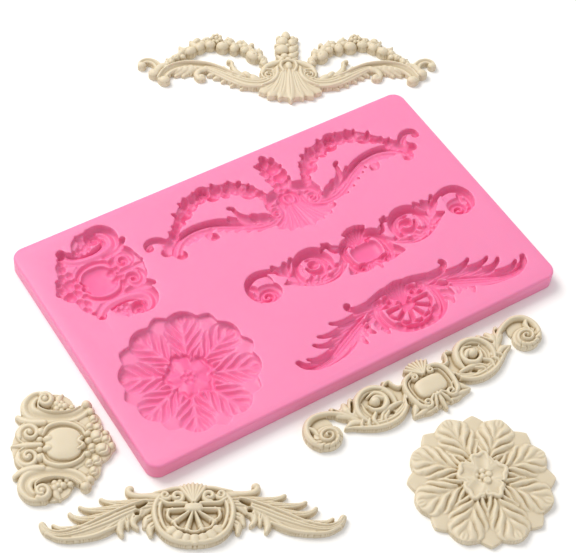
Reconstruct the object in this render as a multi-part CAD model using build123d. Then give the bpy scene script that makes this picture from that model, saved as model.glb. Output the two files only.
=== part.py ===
"""Silicone resin casting mould with five relief cavities, and the five castings that it makes.

Millimetres, +Z up. The origin is the centre of the mould's flat base, X runs along its long side.
The mould lies on a bench with its cavities open upwards. The castings lie beside it on the same
bench, face up, each on its own flat back. A casting is its cavity's shape, turned over and made
smaller all round by the casting clearance, so each one drops back into its own cavity.
"""

import math
import os

from build123d import *

# ---- driving dimensions ----------------------------------------------------------------------
CROWN_LENGTH = 124.5  # shell with two garlands and two leaf arms
BAR_LENGTH = 102.0  # scroll bar with a shield in its middle
SWAG_LENGTH = 103.0  # fan medallion between two leaf sprays
ROSETTE_DIAMETER = 52.0  # double row of eight petals
CARTOUCHE_LENGTH = 44.5  # oval medallion between two large scrolls

SIDE_MARGIN = 6.0  # from the mould's short sides to the nearest cavity
END_MARGIN = 3.8  # from the mould's long sides to the nearest cavity
COLUMN_GAP = 2.5  # between the cartouche cavity and the crown cavity
ROW_GAP = 4.0  # least distance between any other two cavities

RELIEF_DEPTH = 5.0  # deepest point of every cavity, below the mould's top
FLOOR = 2.0  # silicone left under the deepest point
CORNER_RADIUS = 5.0  # mould corners, seen from above
TOP_ROUND = 1.0  # rounding of the mould's upper edge
BASE_ROUND = 0.4  # rounding of the mould's lower edge

CASTING_CLEARANCE = 0.12  # shrinkage all round, between a casting and its cavity
BENCH_GAP = 4.0  # from the mould's edges to the castings laid along them, and between castings
BENCH_TURN = -28.4  # degrees, how every casting but the scroll bar is turned on the bench
ROSETTE_TURN = 0.0  # degrees, how the rosette cavity is turned in the mould

PETALS = 8  # in each of the rosette's two rows
STAMENS = 6  # round the one in the rosette's middle
FAN_BLADES = 5  # in the fan, with a raised rib between each two
CUT_THROUGH = 0.5  # how far a cutting shape stands out above the surface that it cuts

# ---- sizes worked out from them --------------------------------------------------------------
THICKNESS = RELIEF_DEPTH + FLOOR

# Heights of the relief, as shares of its full depth, from its thin edges to its highest bosses.
LOW, MIDDLE, HIGH, FULL = (RELIEF_DEPTH * share for share in (0.36, 0.6, 0.84, 1.0))

# Each ornament is drawn at a design size, (along X, along Y), and scaled to its driving length.
CROWN_DESIGN = (124.5, 40.4)
BAR_DESIGN = (102.0, 22.6)
SWAG_DESIGN = (103.0, 23.8)
ROSETTE_DESIGN = (52.0, 52.0)
CARTOUCHE_DESIGN = (36.0, 44.5)

CROWN_SCALE = CROWN_LENGTH / CROWN_DESIGN[0]
BAR_SCALE = BAR_LENGTH / BAR_DESIGN[0]
SWAG_SCALE = SWAG_LENGTH / SWAG_DESIGN[0]
ROSETTE_SCALE = ROSETTE_DIAMETER / ROSETTE_DESIGN[0]
CARTOUCHE_SCALE = CARTOUCHE_LENGTH / CARTOUCHE_DESIGN[1]


# ---- flat shapes that the relief is built from -------------------------------------------------
def band(points, widths, grow=0.0, mirror=False):
    """A band along a smooth line through points. Widths are half widths, spread along the line."""
    if mirror:
        points = [(-x, y) for x, y in points]
    line = Spline(*points) if len(points) > 2 else Line(*points)
    stations = 2 * len(points) - 1
    left, right = [], []
    for i in range(stations):
        share = i / (stations - 1)
        place = share * (len(widths) - 1)
        k = min(int(place), len(widths) - 2)
        half = widths[k] + (widths[k + 1] - widths[k]) * (place - k) + grow
        at, along = line @ share, line % share
        side = Vector(-along.Y, along.X) * half
        left.append(at + side)
        right.append(at - side)
    nose = line @ 1 + (line % 1) * (widths[-1] + grow)
    tail = line @ 0 - (line % 0) * (widths[0] + grow)
    edges = [
        Spline(*left),
        ThreePointArc(left[-1], nose, right[-1]),
        Spline(*right[::-1]),
        ThreePointArc(right[0], tail, left[0]),
    ]
    return Face(Wire(edges))


def disc(x, y, radius, grow=0.0, mirror=False):
    """A round boss."""
    return Pos(-x if mirror else x, y) * Circle(radius + grow)


def oval(x, y, rx, ry, grow=0.0, turn=0.0, mirror=False):
    """An oval boss, turned counter-clockwise by turn degrees."""
    sign = -1 if mirror else 1
    return Pos(sign * x, y) * Rot(0, 0, sign * turn) * Ellipse(rx + grow, ry + grow)


def leaf(start, end, half, grow=0.0, mirror=False, bow=0.0):
    """A leaf from start to a narrow end, widest in its middle. Bow bends it sideways."""
    (x0, y0), (x1, y1) = start, end
    mid = ((x0 + x1) / 2 - bow * (y1 - y0), (y0 + y1) / 2 + bow * (x1 - x0))
    return band([start, mid, end], [half * 0.55, half, half * 0.35], grow, mirror)


def both(shape, *args, grow, **kwargs):
    """The same flat shape on the right and, mirrored, on the left."""
    return [shape(*args, grow=grow, mirror=flip, **kwargs) for flip in (False, True)]


# ---- the five ornaments, as {height: flat shapes}, drawn at their design size ------------------
def crown(grow):
    """A shell, a column of buds above it, two garlands of fruit and two leaf arms."""
    shell = Polyline(
        (0, 1.5), (6.5, 0.5), (9.5, -4), (9.0, -9), (14.5, -12), (13.3, -15), (9.2, -15.6),
        (9.0, -19.3), (4.2, -18.2), (0, -20.6), (-4.2, -18.2), (-9.0, -19.3), (-9.2, -15.6),
        (-13.3, -15), (-14.5, -12), (-9.0, -9), (-9.5, -4), (-6.5, 0.5), (0, 1.5),
    )
    body = Face(Wire(shell.edges()))
    low = [offset(body, grow, kind=Kind.ARC) if grow else body]
    arm = [(8, -9.5), (16, -9.3), (24, -6.3), (32, -2.0), (40, -0.2), (47.5, -2.4), (51.6, -7.4)]
    hook = [(54.6, -4.6), (53.9, -1.2), (56.4, 2.2), (59.8, 2.6), (61.0, -0.1)]
    garland = [(8, -1), (12.8, 6.4), (20, 11.4), (29.3, 12.6), (38, 10.6), (45.5, 5.6), (52, -4)]
    low += both(band, arm, [1.9, 3.0, 3.1, 2.3, 2.0, 1.3, 1.5], grow=grow)
    low += both(band, garland, [1.8, 2.7, 3.5, 4.0, 3.6, 2.4, 1.5], grow=grow)
    low += both(band, [(20.5, -5), (22.4, -1), (23.0, 2.2)], [1.2, 0.7, 0.55], grow=grow)
    low += both(leaf, (34.5, -2), (37.0, -6.0), 1.9, grow=grow)
    low += both(leaf, (41.5, -1.5), (45.0, -4.9), 1.4, grow=grow)
    low += [band([(0, -1), (0, 9), (0, 18.6)], [3.6, 4.4, 1.3], grow)]
    middle = both(band, hook, [1.9, 1.7, 1.3, 1.2, 1.0], grow=grow)
    middle += both(disc, 51.7, -7.6, 1.9, grow=grow)
    middle += both(disc, 8.0, -6.2, 3.4, grow=grow)
    high = both(oval, 13.8, 5.6, 2.7, 2.1, grow=grow, turn=40)
    high += both(oval, 21.9, 10.2, 2.0, 2.3, grow=grow)
    high += both(oval, 26.9, 10.8, 2.4, 2.4, grow=grow)
    high += both(oval, 40.5, 8.4, 2.2, 2.0, grow=grow)
    high += both(disc, 29.6, 15.0, 2.2, grow=grow)
    high += [oval(-1.0, 13.6, 2.5, 2.6, grow), oval(-1.6, 8.6, 2.7, 2.5, grow)]
    full = [band([(0, -17.5), (0, -9), (0, -1.5)], [1.6, 3.0, 4.2], grow)]
    return {LOW: low, MIDDLE: middle, HIGH: high, FULL: full}


def bar(grow):
    """A shield, two panels, two large C-scrolls with leaves, and a volute at each end."""
    low = both(band, [(9, -1), (14.5, 1.8), (21, 0)], [3.9, 5.6, 6.6], grow=grow)
    low += both(band, [(27, -2.2), (31.5, 0.8), (33.2, 5.4)], [3.8, 3.4, 2.6], grow=grow)
    low += both(band, [(11, -3), (17.6, -5.6), (25, -5.2), (31, -2.6), (36.2, -1.2)],
                [1.7, 2.2, 2.2, 1.7, 0.4], grow=grow)
    low += both(disc, 45.3, 2.2, 6.0, grow=grow)
    low += both(leaf, (29.2, 5.0), (29.6, 8.6), 1.2, grow=grow)
    low += both(leaf, (35.2, 5.2), (36.8, 8.0), 1.2, grow=grow)
    low += both(leaf, (9.6, -6.2), (12.0, -9.4), 1.5, grow=grow)
    low += [oval(0, -1.6, 10.6, 8.9, grow), oval(0, 7.0, 4.2, 4.1, grow)]
    low += [oval(0, -8.6, 4.0, 3.5, grow)]
    middle = both(band, [(16.2, 5.6), (21.6, 8.4), (27.4, 5.8), (29.4, 0.4), (27.4, -3.4)],
                  [1.1, 1.1, 1.3, 1.3, 0.9], grow=grow)
    middle += both(band, [(34.6, 2.4), (39.2, 6.5), (45.4, 8.0), (50.0, 4.6), (50.0, -0.8)],
                   [0.9, 1.0, 1.1, 1.0, 0.8], grow=grow)
    high = both(disc, 44.5, 0.2, 4.1, grow=grow)
    high += both(disc, 20.6, 2.4, 2.7, grow=grow)
    high += both(band, [(5.2, 5.9), (8.8, 2.8), (9.3, -3), (7.2, -8.2)], [1.0] * 4, grow=grow)
    full = [oval(0, -1.2, 6.4, 4.0, grow)]
    return {LOW: low, MIDDLE: middle, HIGH: high, FULL: full}


def swag(grow):
    """A round medallion with a fan of blades and a plume, between two sprays of long leaves."""
    low = [oval(0, -1.6, 13.6, 10.1, grow), oval(0, 7.2, 6.6, 4.5, grow)]
    low += both(band, [(10, 5.5), (15.5, 7.4), (20.4, 8.4), (22.0, 11.0)],
                [2.6, 1.6, 1.3, 0.85], grow=grow)
    stem = [(12, 4), (20, 3.0), (28, 0.0), (35, -4.4), (42, -6.9), (47.2, -6.0), (50.2, -2.8)]
    low += both(band, stem, [2.9, 3.3, 4.0, 3.0, 1.9, 1.6, 1.1], grow=grow)
    low += both(leaf, (24, 3.2), (30.6, 6.4), 1.7, grow=grow, bow=-0.12)
    low += both(leaf, (29, 0.8), (37.4, 3.5), 1.6, grow=grow, bow=-0.12)
    low += both(leaf, (33, -2.8), (41.4, 0.9), 1.6, grow=grow, bow=-0.14)
    low += both(leaf, (24.6, -1), (24.6, -7.0), 1.3, grow=grow)
    low += both(leaf, (20.6, 0.6), (19.8, -4.2), 1.2, grow=grow)
    low += both(leaf, (13.4, -2.2), (14.2, -6.6), 1.7, grow=grow)
    high = both(band, [(14, 5.4), (22, 3.2), (30, -1.0), (38, -5.6), (44, -6.6)],
                [0.8, 1.1, 1.2, 0.9, 0.6], grow=grow)
    high += both(disc, 6.0, 6.6, 2.3, grow=grow)
    high += both(band, [(11.8, 5.0), (12.3, -1.6), (8.6, -8.0), (0.0, -10.2)],
                 [1.0, 1.1, 1.1, 1.0], grow=grow)
    for k in range(FAN_BLADES - 1):
        turn = math.radians(-(k + 1) * 180 / FAN_BLADES)
        tip = (9.4 * math.cos(turn), 2.2 + 10.6 * math.sin(turn))
        high.append(band([(0, 2.2), tip], [1.0, 0.8], grow))
    full = [oval(0, 2.2, 3.0, 1.7, grow), band([(0, 3), (0, 9.0)], [1.6, 3.0], grow)]
    return {LOW: low, HIGH: high, FULL: full}


def rosette(grow):
    """A row of broad petals over a row of plain ones, round a raised middle with stamens."""
    back, front, middle, stamens = [], [], [], []
    for k in range(PETALS):
        turn = Rot(0, 0, k * 360 / PETALS)
        half_step = Rot(0, 0, (k + 0.5) * 360 / PETALS)
        back.append(turn * band([(6, 0), (16, 0), (24.2, 0)], [3.0, 5.2, 1.8], grow))
        front.append(half_step * band([(6.5, 0), (15, 0), (22.4, 0)], [2.4, 5.4, 3.1], grow))
    middle.append(disc(0, 0, 8.4, grow))
    for k in range(STAMENS):
        turn = math.radians(k * 360 / STAMENS)
        stamens.append(disc(2.7 * math.cos(turn), 2.7 * math.sin(turn), 1.2, grow))
    stamens.append(disc(0, 0, 1.3, grow))
    return {LOW: back, HIGH * 0.86: front, HIGH: middle, FULL: stamens}


def cartouche(grow):
    """An oval medallion between two large scrolls, with a crest at -X and roses at +X."""
    low = [oval(0, 0, 10.6, 9.8, grow), oval(-11.4, 0, 6.2, 6.6, grow)]
    middle = [oval(12.6, 0, 5.0, 3.4, grow)]
    high = []
    for side in (1, -1):
        arm = [(-7.0, 12.0), (1.5, 10.0), (9.6, 14.4)]
        low.append(band([(x, side * y) for x, y in arm], [4.4, 3.1, 2.3], grow))
        low.append(disc(-6.2, side * 17.0, 5.2, grow))
        low.append(oval(-0.8, side * 15.6, 3.4, 3.0, grow))
        low.append(band([(-8.2, side * 8), (-14.6, side * 11.2)], [1.5, 1.0], grow))
        middle.append(disc(-12.2, side * 4.4, 4.2, grow))
        middle.append(disc(9.0, side * 8.2, 2.5, grow))
        middle.append(disc(12.2, side * 4.0, 2.7, grow))
        high.append(disc(-7.0, side * 18.0, 2.9, grow))
        high.append(band([(-11.0, side * 13.6), (-5.4, side * 10.9), (1, side * 10.4)],
                         [1.3, 1.4, 0.9], grow))
        high.append(oval(-4.8, side * 1.9, 1.8, 1.4, grow))
    full = [oval(0.4, 0, 5.2, 5.2, grow)]
    return {LOW: low, MIDDLE: middle, HIGH: high, FULL: full}


# ---- the mould's outline, and where its cavities are -------------------------------------------
def halves(design, factor):
    """Half an ornament's size along X and along Y, scaled."""
    return design[0] * factor / 2, design[1] * factor / 2


crown_half = halves(CROWN_DESIGN, CROWN_SCALE)
bar_half = halves(BAR_DESIGN, BAR_SCALE)
swag_half = halves(SWAG_DESIGN, SWAG_SCALE)
rosette_half = halves(ROSETTE_DESIGN, ROSETTE_SCALE)
cartouche_half = halves(CARTOUCHE_DESIGN, CARTOUCHE_SCALE)

# The mould is as large as its rows and columns of cavities need, with the margins round them.
left_column = 2 * (cartouche_half[1] + rosette_half[1]) + ROW_GAP
right_column = 2 * (crown_half[1] + bar_half[1] + swag_half[1]) + 2 * ROW_GAP
MOULD_WIDTH = 2 * END_MARGIN + max(left_column, right_column)
upper_row = 2 * (cartouche_half[0] + crown_half[0]) + COLUMN_GAP
lower_row = 2 * (rosette_half[0] + max(bar_half[0], swag_half[0])) + ROW_GAP
MOULD_LENGTH = 2 * SIDE_MARGIN + max(upper_row, lower_row)

left = -MOULD_LENGTH / 2 + SIDE_MARGIN
right = MOULD_LENGTH / 2 - SIDE_MARGIN
top = MOULD_WIDTH / 2 - END_MARGIN
bottom = -top
crown_place = (right - crown_half[0], top - crown_half[1])
swag_place = (right - swag_half[0], bottom + swag_half[1])
between = (crown_place[1] - crown_half[1] + swag_place[1] + swag_half[1]) / 2
bar_place = (right - bar_half[0], between)
rosette_place = (left + rosette_half[0], bottom + rosette_half[1])
cartouche_place = (left + cartouche_half[0], top - cartouche_half[1])

# Each ornament with its scale, where its cavity is, and how that cavity is turned, in degrees.
ORNAMENTS = {
    "crown": (crown, CROWN_SCALE, crown_place, 0),
    "scroll_bar": (bar, BAR_SCALE, bar_place, 0),
    "fan_swag": (swag, SWAG_SCALE, swag_place, 0),
    "rosette": (rosette, ROSETTE_SCALE, rosette_place, ROSETTE_TURN),
    "cartouche": (cartouche, CARTOUCHE_SCALE, cartouche_place, 0),
}


# ---- solids ------------------------------------------------------------------------------------
def relief(ornament, factor, grow=0.0, extra=0.0):
    """An ornament's solid on the plane Z = 0, face up. Grow widens it, extra raises it."""
    solid = None
    for height, shapes in ornament(grow / factor).items():
        flat = Sketch() + shapes
        if factor != 1:
            flat = scale(flat, by=(factor, factor, 1))
        level = extrude(flat, amount=height + extra, dir=(0, 0, 1))
        solid = level if solid is None else solid + level
    return solid


def slab():
    """The silicone block before its cavities: a rounded rectangle with soft edges."""
    block = extrude(RectangleRounded(MOULD_LENGTH, MOULD_WIDTH, CORNER_RADIUS), amount=THICKNESS)
    block = fillet(block.edges().group_by(Axis.Z)[-1], TOP_ROUND)
    return fillet(block.edges().group_by(Axis.Z)[0], BASE_ROUND)


def mould():
    """The block with a cavity for each ornament. Turning an ornament over makes it a hollow."""
    block = slab()
    for ornament, factor, (x, y), turn in ORNAMENTS.values():
        hollow = Rot(0, 180, 0) * relief(ornament, factor, extra=CUT_THROUGH)
        block = block - Pos(x, y, THICKNESS + CUT_THROUGH) * Rot(0, 0, turn) * hollow
    return block


def castings():
    """The five castings, face up on the bench round the mould, turned as they lie there."""
    solids = {}
    for name, (ornament, factor, _, _) in ORNAMENTS.items():
        turn = 0 if name == "scroll_bar" else BENCH_TURN
        casting = relief(ornament, factor, -CASTING_CLEARANCE, -CASTING_CLEARANCE)
        solids[name] = Rot(0, 0, turn) * casting
    return solids


def lay_out(solids):
    """Moves each turned casting to its place beside the mould, clear of it and of the others."""
    boxes = {name: solid.bounding_box() for name, solid in solids.items()}
    edge_x, edge_y = MOULD_LENGTH / 2 + BENCH_GAP, MOULD_WIDTH / 2 + BENCH_GAP
    places = {
        "crown": (MOULD_LENGTH / 3, edge_y - boxes["crown"].min.Y),
        "scroll_bar": (MOULD_LENGTH / 10, -edge_y - boxes["scroll_bar"].max.Y),
        "fan_swag": (-MOULD_LENGTH / 2 + SWAG_LENGTH / 18, -edge_y - 1.22 * swag_half[1]),
    }
    below_bar = places["scroll_bar"][1] + boxes["scroll_bar"].min.Y - BENCH_GAP
    above_swag = places["fan_swag"][1] + boxes["fan_swag"].max.Y + BENCH_GAP
    places["rosette"] = (MOULD_LENGTH / 16, below_bar - boxes["rosette"].max.Y)
    places["cartouche"] = (-edge_x - boxes["cartouche"].max.X,
                           above_swag - boxes["cartouche"].min.Y)
    return {name: Pos(*places[name]) * solid for name, solid in solids.items()}


def main():
    """Writes one STEP file for each node."""
    os.makedirs("parts", exist_ok=True)
    export_step(mould(), "parts/silicone_mould.step")
    for name, casting in lay_out(castings()).items():
        export_step(casting, f"parts/{name}_casting.step")


if __name__ == "__main__":
    main()
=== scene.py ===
"""The look of a one-part silicone mould and of the five resin ornaments cast in it.

Every ornament is sculpted once, as a relief: a grid of heights over a flat back. The relief is built
up from smooth strokes and bosses, and from repeated pieces that Geometry Nodes lay out and that are
pressed into the grid. The casting is that relief as a closed shell. The cavity is the same relief
turned over and sunk into the top of the mould, so the two always agree.

Reliefs are worked in millimetres in their own flat frame. Meshes are placed in metres.
"""

import logging
import math
from dataclasses import dataclass, field
from enum import Enum
from typing import Iterable, Sequence

import bmesh
import bpy
import numpy as np
from mathutils import Matrix, Vector
from mathutils.bvhtree import BVHTree
from mathutils.geometry import tessellate_polygon


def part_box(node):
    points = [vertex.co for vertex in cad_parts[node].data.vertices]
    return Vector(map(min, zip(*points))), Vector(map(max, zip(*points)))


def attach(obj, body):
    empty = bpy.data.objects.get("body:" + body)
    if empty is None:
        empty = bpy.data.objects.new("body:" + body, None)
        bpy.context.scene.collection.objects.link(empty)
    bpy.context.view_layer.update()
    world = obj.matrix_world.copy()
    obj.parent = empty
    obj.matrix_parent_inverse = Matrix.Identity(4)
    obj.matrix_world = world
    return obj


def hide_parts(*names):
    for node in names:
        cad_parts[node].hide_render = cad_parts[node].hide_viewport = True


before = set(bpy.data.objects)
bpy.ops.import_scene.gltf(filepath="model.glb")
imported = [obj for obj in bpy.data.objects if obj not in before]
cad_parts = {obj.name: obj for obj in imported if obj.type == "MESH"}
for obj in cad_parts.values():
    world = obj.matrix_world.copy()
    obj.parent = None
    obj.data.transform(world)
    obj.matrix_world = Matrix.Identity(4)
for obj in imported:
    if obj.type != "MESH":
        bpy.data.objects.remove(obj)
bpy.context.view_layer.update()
log = logging.getLogger("resin_mould")

MM = 0.001
Point = tuple[float, float]


# ---- small helpers -----------------------------------------------------------------------------
def linear(hex_colour: str) -> tuple[float, float, float, float]:
    """Turns an sRGB hex colour into the linear RGBA that a shader socket takes.

    Args:
        hex_colour: the colour, as in "#f08cb4".

    Returns:
        Linear red, green, blue and an alpha of one.
    """
    channels = [int(hex_colour[i:i + 2], 16) / 255 for i in (1, 3, 5)]
    return (*[c / 12.92 if c <= 0.04045 else ((c + 0.055) / 1.055) ** 2.4 for c in channels], 1.0)


def add_node(tree: bpy.types.NodeTree, kind: str, inputs: dict | None = None, **settings) -> bpy.types.Node:
    """Adds a node, sets its properties, and fills or links its inputs.

    Args:
        tree: the tree that gets the node.
        kind: the node's type name.
        inputs: input name or index, and the value or the output socket that goes in.
        settings: the node's properties.

    Returns:
        The new node.
    """
    node = tree.nodes.new(kind)
    for name, value in settings.items():
        setattr(node, name, value)
    for key, value in (inputs or {}).items():
        if isinstance(value, bpy.types.NodeSocket):
            tree.links.new(value, node.inputs[key])
        else:
            node.inputs[key].default_value = value
    return node


def blurred(grid: np.ndarray, passes: int) -> np.ndarray:
    """Softens a grid with a three-tap filter along both axes.

    Args:
        grid: the values.
        passes: how many times the filter runs.

    Returns:
        The softened grid, of the same size.
    """
    out = grid.astype(float)
    for _ in range(passes):
        padded = np.pad(out, 1, mode="edge")
        rows = (padded[:-2] + 2 * padded[1:-1] + padded[2:]) / 4
        out = (rows[:, :-2] + 2 * rows[:, 1:-1] + rows[:, 2:]) / 4
    return out


def smooth_line(points: Sequence[Point], steps: int = 20) -> np.ndarray:
    """Runs a Catmull-Rom line through points.

    Args:
        points: the points, at least two.
        steps: samples for each span.

    Returns:
        The samples, one row of x and y for each.
    """
    knots = np.array(points, float)
    if len(knots) == 2:
        return knots[0] + (knots[1] - knots[0]) * np.linspace(0, 1, 4)[:, None]
    ends = np.vstack([2 * knots[0] - knots[1], knots, 2 * knots[-1] - knots[-2]])
    share = (np.arange(steps) / steps)[:, None]
    spans = []
    for a, b, c, d in zip(ends[:-3], ends[1:-2], ends[2:-1], ends[3:]):
        spans.append(0.5 * (2 * b + (c - a) * share + (2 * a - 5 * b + 4 * c - d) * share ** 2
                            + (3 * b - a - 3 * c + d) * share ** 3))
    return np.vstack([*spans, knots[-1:]])


# ---- Geometry Nodes: what repeats round a centre or along a line ---------------------------------
def new_tree(name: str, sockets: Sequence[tuple[str, str]]) -> tuple[bpy.types.NodeTree, dict[str, str]]:
    """Starts a Geometry Nodes tree with named inputs.

    Args:
        name: the tree's name.
        sockets: each input's name and socket type.

    Returns:
        The tree, and each input's identifier by its name.
    """
    tree = bpy.data.node_groups.new(name, "GeometryNodeTree")
    tree.interface.new_socket("Geometry", in_out="INPUT", socket_type="NodeSocketGeometry")
    names = {n: tree.interface.new_socket(n, in_out="INPUT", socket_type=kind).identifier
             for n, kind in sockets}
    tree.interface.new_socket("Geometry", in_out="OUTPUT", socket_type="NodeSocketGeometry")
    return tree, names


def end_tree(tree: bpy.types.NodeTree, result: bpy.types.NodeSocket, material: bpy.types.NodeSocket) -> None:
    """Ends a tree: real geometry, with its material.

    Args:
        tree: the tree.
        result: what it has made so far.
        material: the material's input.
    """
    real = add_node(tree, "GeometryNodeRealizeInstances", {"Geometry": result})
    dressed = add_node(tree, "GeometryNodeSetMaterial", {"Geometry": real.outputs[0], "Material": material})
    add_node(tree, "NodeGroupOutput", {0: dressed.outputs[0]})


def ring_tree() -> tuple[bpy.types.NodeTree, dict[str, str]]:
    """Builds the tree that sets copies of a piece round a centre, each turned to face outwards.

    Returns:
        The tree and its inputs' identifiers.
    """
    tree, names = new_tree("ring_of_pieces", [
        ("Piece", "NodeSocketObject"), ("Count", "NodeSocketInt"), ("Radius", "NodeSocketFloat"),
        ("First angle", "NodeSocketFloat"), ("Step angle", "NodeSocketFloat"),
        ("Size spread", "NodeSocketFloat"), ("Seed", "NodeSocketInt"), ("Material", "NodeSocketMaterial")])
    given = add_node(tree, "NodeGroupInput").outputs
    index = add_node(tree, "GeometryNodeInputIndex").outputs[0]
    turn = add_node(tree, "ShaderNodeMath", {0: index, 1: given["Step angle"], 2: given["First angle"]},
                    operation="MULTIPLY_ADD").outputs[0]
    across = add_node(tree, "ShaderNodeMath", {0: turn}, operation="COSINE").outputs[0]
    along = add_node(tree, "ShaderNodeMath", {0: turn}, operation="SINE").outputs[0]
    unit = add_node(tree, "ShaderNodeCombineXYZ", {0: across, 1: along}).outputs[0]
    place = add_node(tree, "ShaderNodeVectorMath", {0: unit, "Scale": given["Radius"]},
                     operation="SCALE").outputs[0]
    points = add_node(tree, "GeometryNodePoints", {"Count": given["Count"], "Position": place}).outputs[0]
    least, most = (add_node(tree, "ShaderNodeMath", {0: 1.0, 1: given["Size spread"]}, operation=o).outputs[0]
                   for o in ("SUBTRACT", "ADD"))
    size = add_node(tree, "FunctionNodeRandomValue", {2: least, 3: most, "Seed": given["Seed"]},
                    data_type="FLOAT")
    size = next(o for o in size.outputs if o.enabled)
    facing = add_node(tree, "ShaderNodeCombineXYZ", {2: turn}).outputs[0]
    piece = add_node(tree, "GeometryNodeObjectInfo", {"Object": given["Piece"]}).outputs["Geometry"]
    copies = add_node(tree, "GeometryNodeInstanceOnPoints",
                      {"Points": points, "Instance": piece, "Rotation": facing, "Scale": size}).outputs[0]
    end_tree(tree, copies, given["Material"])
    return tree, names


def cluster_tree() -> tuple[bpy.types.NodeTree, dict[str, str]]:
    """Builds the tree that crowds fruit of mixed sizes along a line.

    Returns:
        The tree and its inputs' identifiers.
    """
    tree, names = new_tree("fruit_along_line", [
        ("Count", "NodeSocketInt"), ("Least radius", "NodeSocketFloat"), ("Most radius", "NodeSocketFloat"),
        ("Scatter", "NodeSocketFloat"), ("Height", "NodeSocketFloat"), ("Seed", "NodeSocketInt"),
        ("Material", "NodeSocketMaterial")])
    given = add_node(tree, "NodeGroupInput").outputs
    curve = add_node(tree, "GeometryNodeMeshToCurve", {"Mesh": given["Geometry"]}).outputs[0]
    evenly = add_node(tree, "GeometryNodeResampleCurve", {"Curve": curve, "Count": given["Count"]}).outputs[0]
    out = add_node(tree, "ShaderNodeMath", {0: given["Scatter"], 1: -1.0}, operation="MULTIPLY").outputs[0]
    low = add_node(tree, "ShaderNodeCombineXYZ", {0: out, 1: out, 2: given["Height"]}).outputs[0]
    high = add_node(tree, "ShaderNodeCombineXYZ",
                    {0: given["Scatter"], 1: given["Scatter"], 2: given["Height"]}).outputs[0]
    shift = add_node(tree, "FunctionNodeRandomValue", {0: low, 1: high, "Seed": given["Seed"]},
                     data_type="FLOAT_VECTOR")
    shift = next(o for o in shift.outputs if o.enabled)
    moved = add_node(tree, "GeometryNodeSetPosition", {"Geometry": evenly, "Offset": shift}).outputs[0]
    size = add_node(tree, "FunctionNodeRandomValue",
                    {2: given["Least radius"], 3: given["Most radius"], "Seed": given["Seed"]},
                    data_type="FLOAT")
    size = next(o for o in size.outputs if o.enabled)
    fruit = add_node(tree, "GeometryNodeMeshIcoSphere", {"Radius": 1.0, "Subdivisions": 4}).outputs[0]
    copies = add_node(tree, "GeometryNodeInstanceOnPoints",
                      {"Points": moved, "Instance": fruit, "Scale": size}).outputs[0]
    end_tree(tree, copies, given["Material"])
    return tree, names


@dataclass
class Workshop:
    """Holds the node trees and turns a set-out of pieces into a plain, temporary mesh."""

    material: bpy.types.Material
    ring: tuple[bpy.types.NodeTree, dict[str, str]] = field(default_factory=ring_tree)
    cluster: tuple[bpy.types.NodeTree, dict[str, str]] = field(default_factory=cluster_tree)

    def _applied(self, mesh: bpy.types.Mesh, tree: tuple[bpy.types.NodeTree, dict[str, str]],
                 values: dict[str, object]) -> bpy.types.Mesh:
        """Runs a tree on a mesh.

        Args:
            mesh: what the tree is given.
            tree: the tree and its inputs' identifiers.
            values: each named input's value.

        Returns:
            The result, as a plain mesh.
        """
        group, names = tree
        holder = bpy.data.objects.new("set_out", mesh)
        modifier = holder.modifiers.new(group.name, "NODES")
        modifier.node_group = group
        for name, value in {**values, "Material": self.material}.items():
            modifier[names[name]] = value
        bpy.context.scene.collection.objects.link(holder)
        evaluated = holder.evaluated_get(bpy.context.evaluated_depsgraph_get())
        result = bpy.data.meshes.new_from_object(evaluated)
        bpy.data.objects.remove(holder)
        return result

    def ringed(self, piece: bpy.types.Mesh, count: int, radius: float, first: float, step: float,
               spread: float = 0.0, seed: int = 1) -> bpy.types.Mesh:
        """Sets copies of a piece round the origin.

        Args:
            piece: the piece, pointing along +X.
            count: how many.
            radius: how far the piece's own origin is from the centre, in millimetres.
            first: the first copy's angle, in degrees.
            step: the angle from one to the next, in degrees.
            spread: how much their sizes vary, as a share.
            seed: fixes the variation.

        Returns:
            The ring, as a plain mesh.
        """
        source = bpy.data.objects.new("piece", piece)
        bpy.context.scene.collection.objects.link(source)
        ring = self._applied(bpy.data.meshes.new("empty"), self.ring, {
            "Piece": source, "Count": count, "Radius": radius, "First angle": math.radians(first),
            "Step angle": math.radians(step), "Size spread": spread, "Seed": seed})
        bpy.data.objects.remove(source)
        return ring

    def clustered(self, points: Sequence[Point], count: int, radii: Point, scatter: float,
                  height: float, seed: int) -> bpy.types.Mesh:
        """Crowds fruit along a line.

        Args:
            points: the line's points, in millimetres.
            count: how many fruit.
            radii: the smallest and the largest radius.
            scatter: how far they stray from the line.
            height: their middles' height above the back.
            seed: fixes the scatter and the sizes.

        Returns:
            The fruit, as a plain mesh.
        """
        line = smooth_line(points)
        mesh = bpy.data.meshes.new("line")
        mesh.from_pydata([(x, y, 0.0) for x, y in line], [(i, i + 1) for i in range(len(line) - 1)], [])
        return self._applied(mesh, self.cluster, {
            "Count": count, "Least radius": radii[0], "Most radius": radii[1], "Scatter": scatter,
            "Height": height, "Seed": seed})


# ---- the relief: a grid of heights ----------------------------------------------------------------
SPARE = 4.0           # millimetres of empty grid round an ornament while it is drawn
WEB = 0.7             # the least height that a groove leaves, in millimetres
SCROLL_RIM = 0.55     # the height at a spiral's edge, as a share
EDGE_PASSES = 4       # blur passes that round off an outline's steps
# These three set the painted crevice shade: how far below its surroundings a place lies sets how much browner
# it is painted.
CREVICE_PASSES = 18   # blur passes that give the height round about
CREVICE_DEPTH = 0.6   # millimetres below what is round about that make a full crevice
CREVICE_START = 0.12  # the crevice tone of a level surface, as a share
TINY = 1e-6           # what a divisor is kept above


class Section(Enum):
    """How a stroke is shaped across its width."""

    ROUND = "a half-round bead"
    HOLLOW = "a gutter between two raised rims"
    LEAF = "a leaf with a sunk middle vein and slanting side veins"
    FLAT = "a plate with soft edges"
    REEDED = "a bundle of fine reeds"


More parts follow.
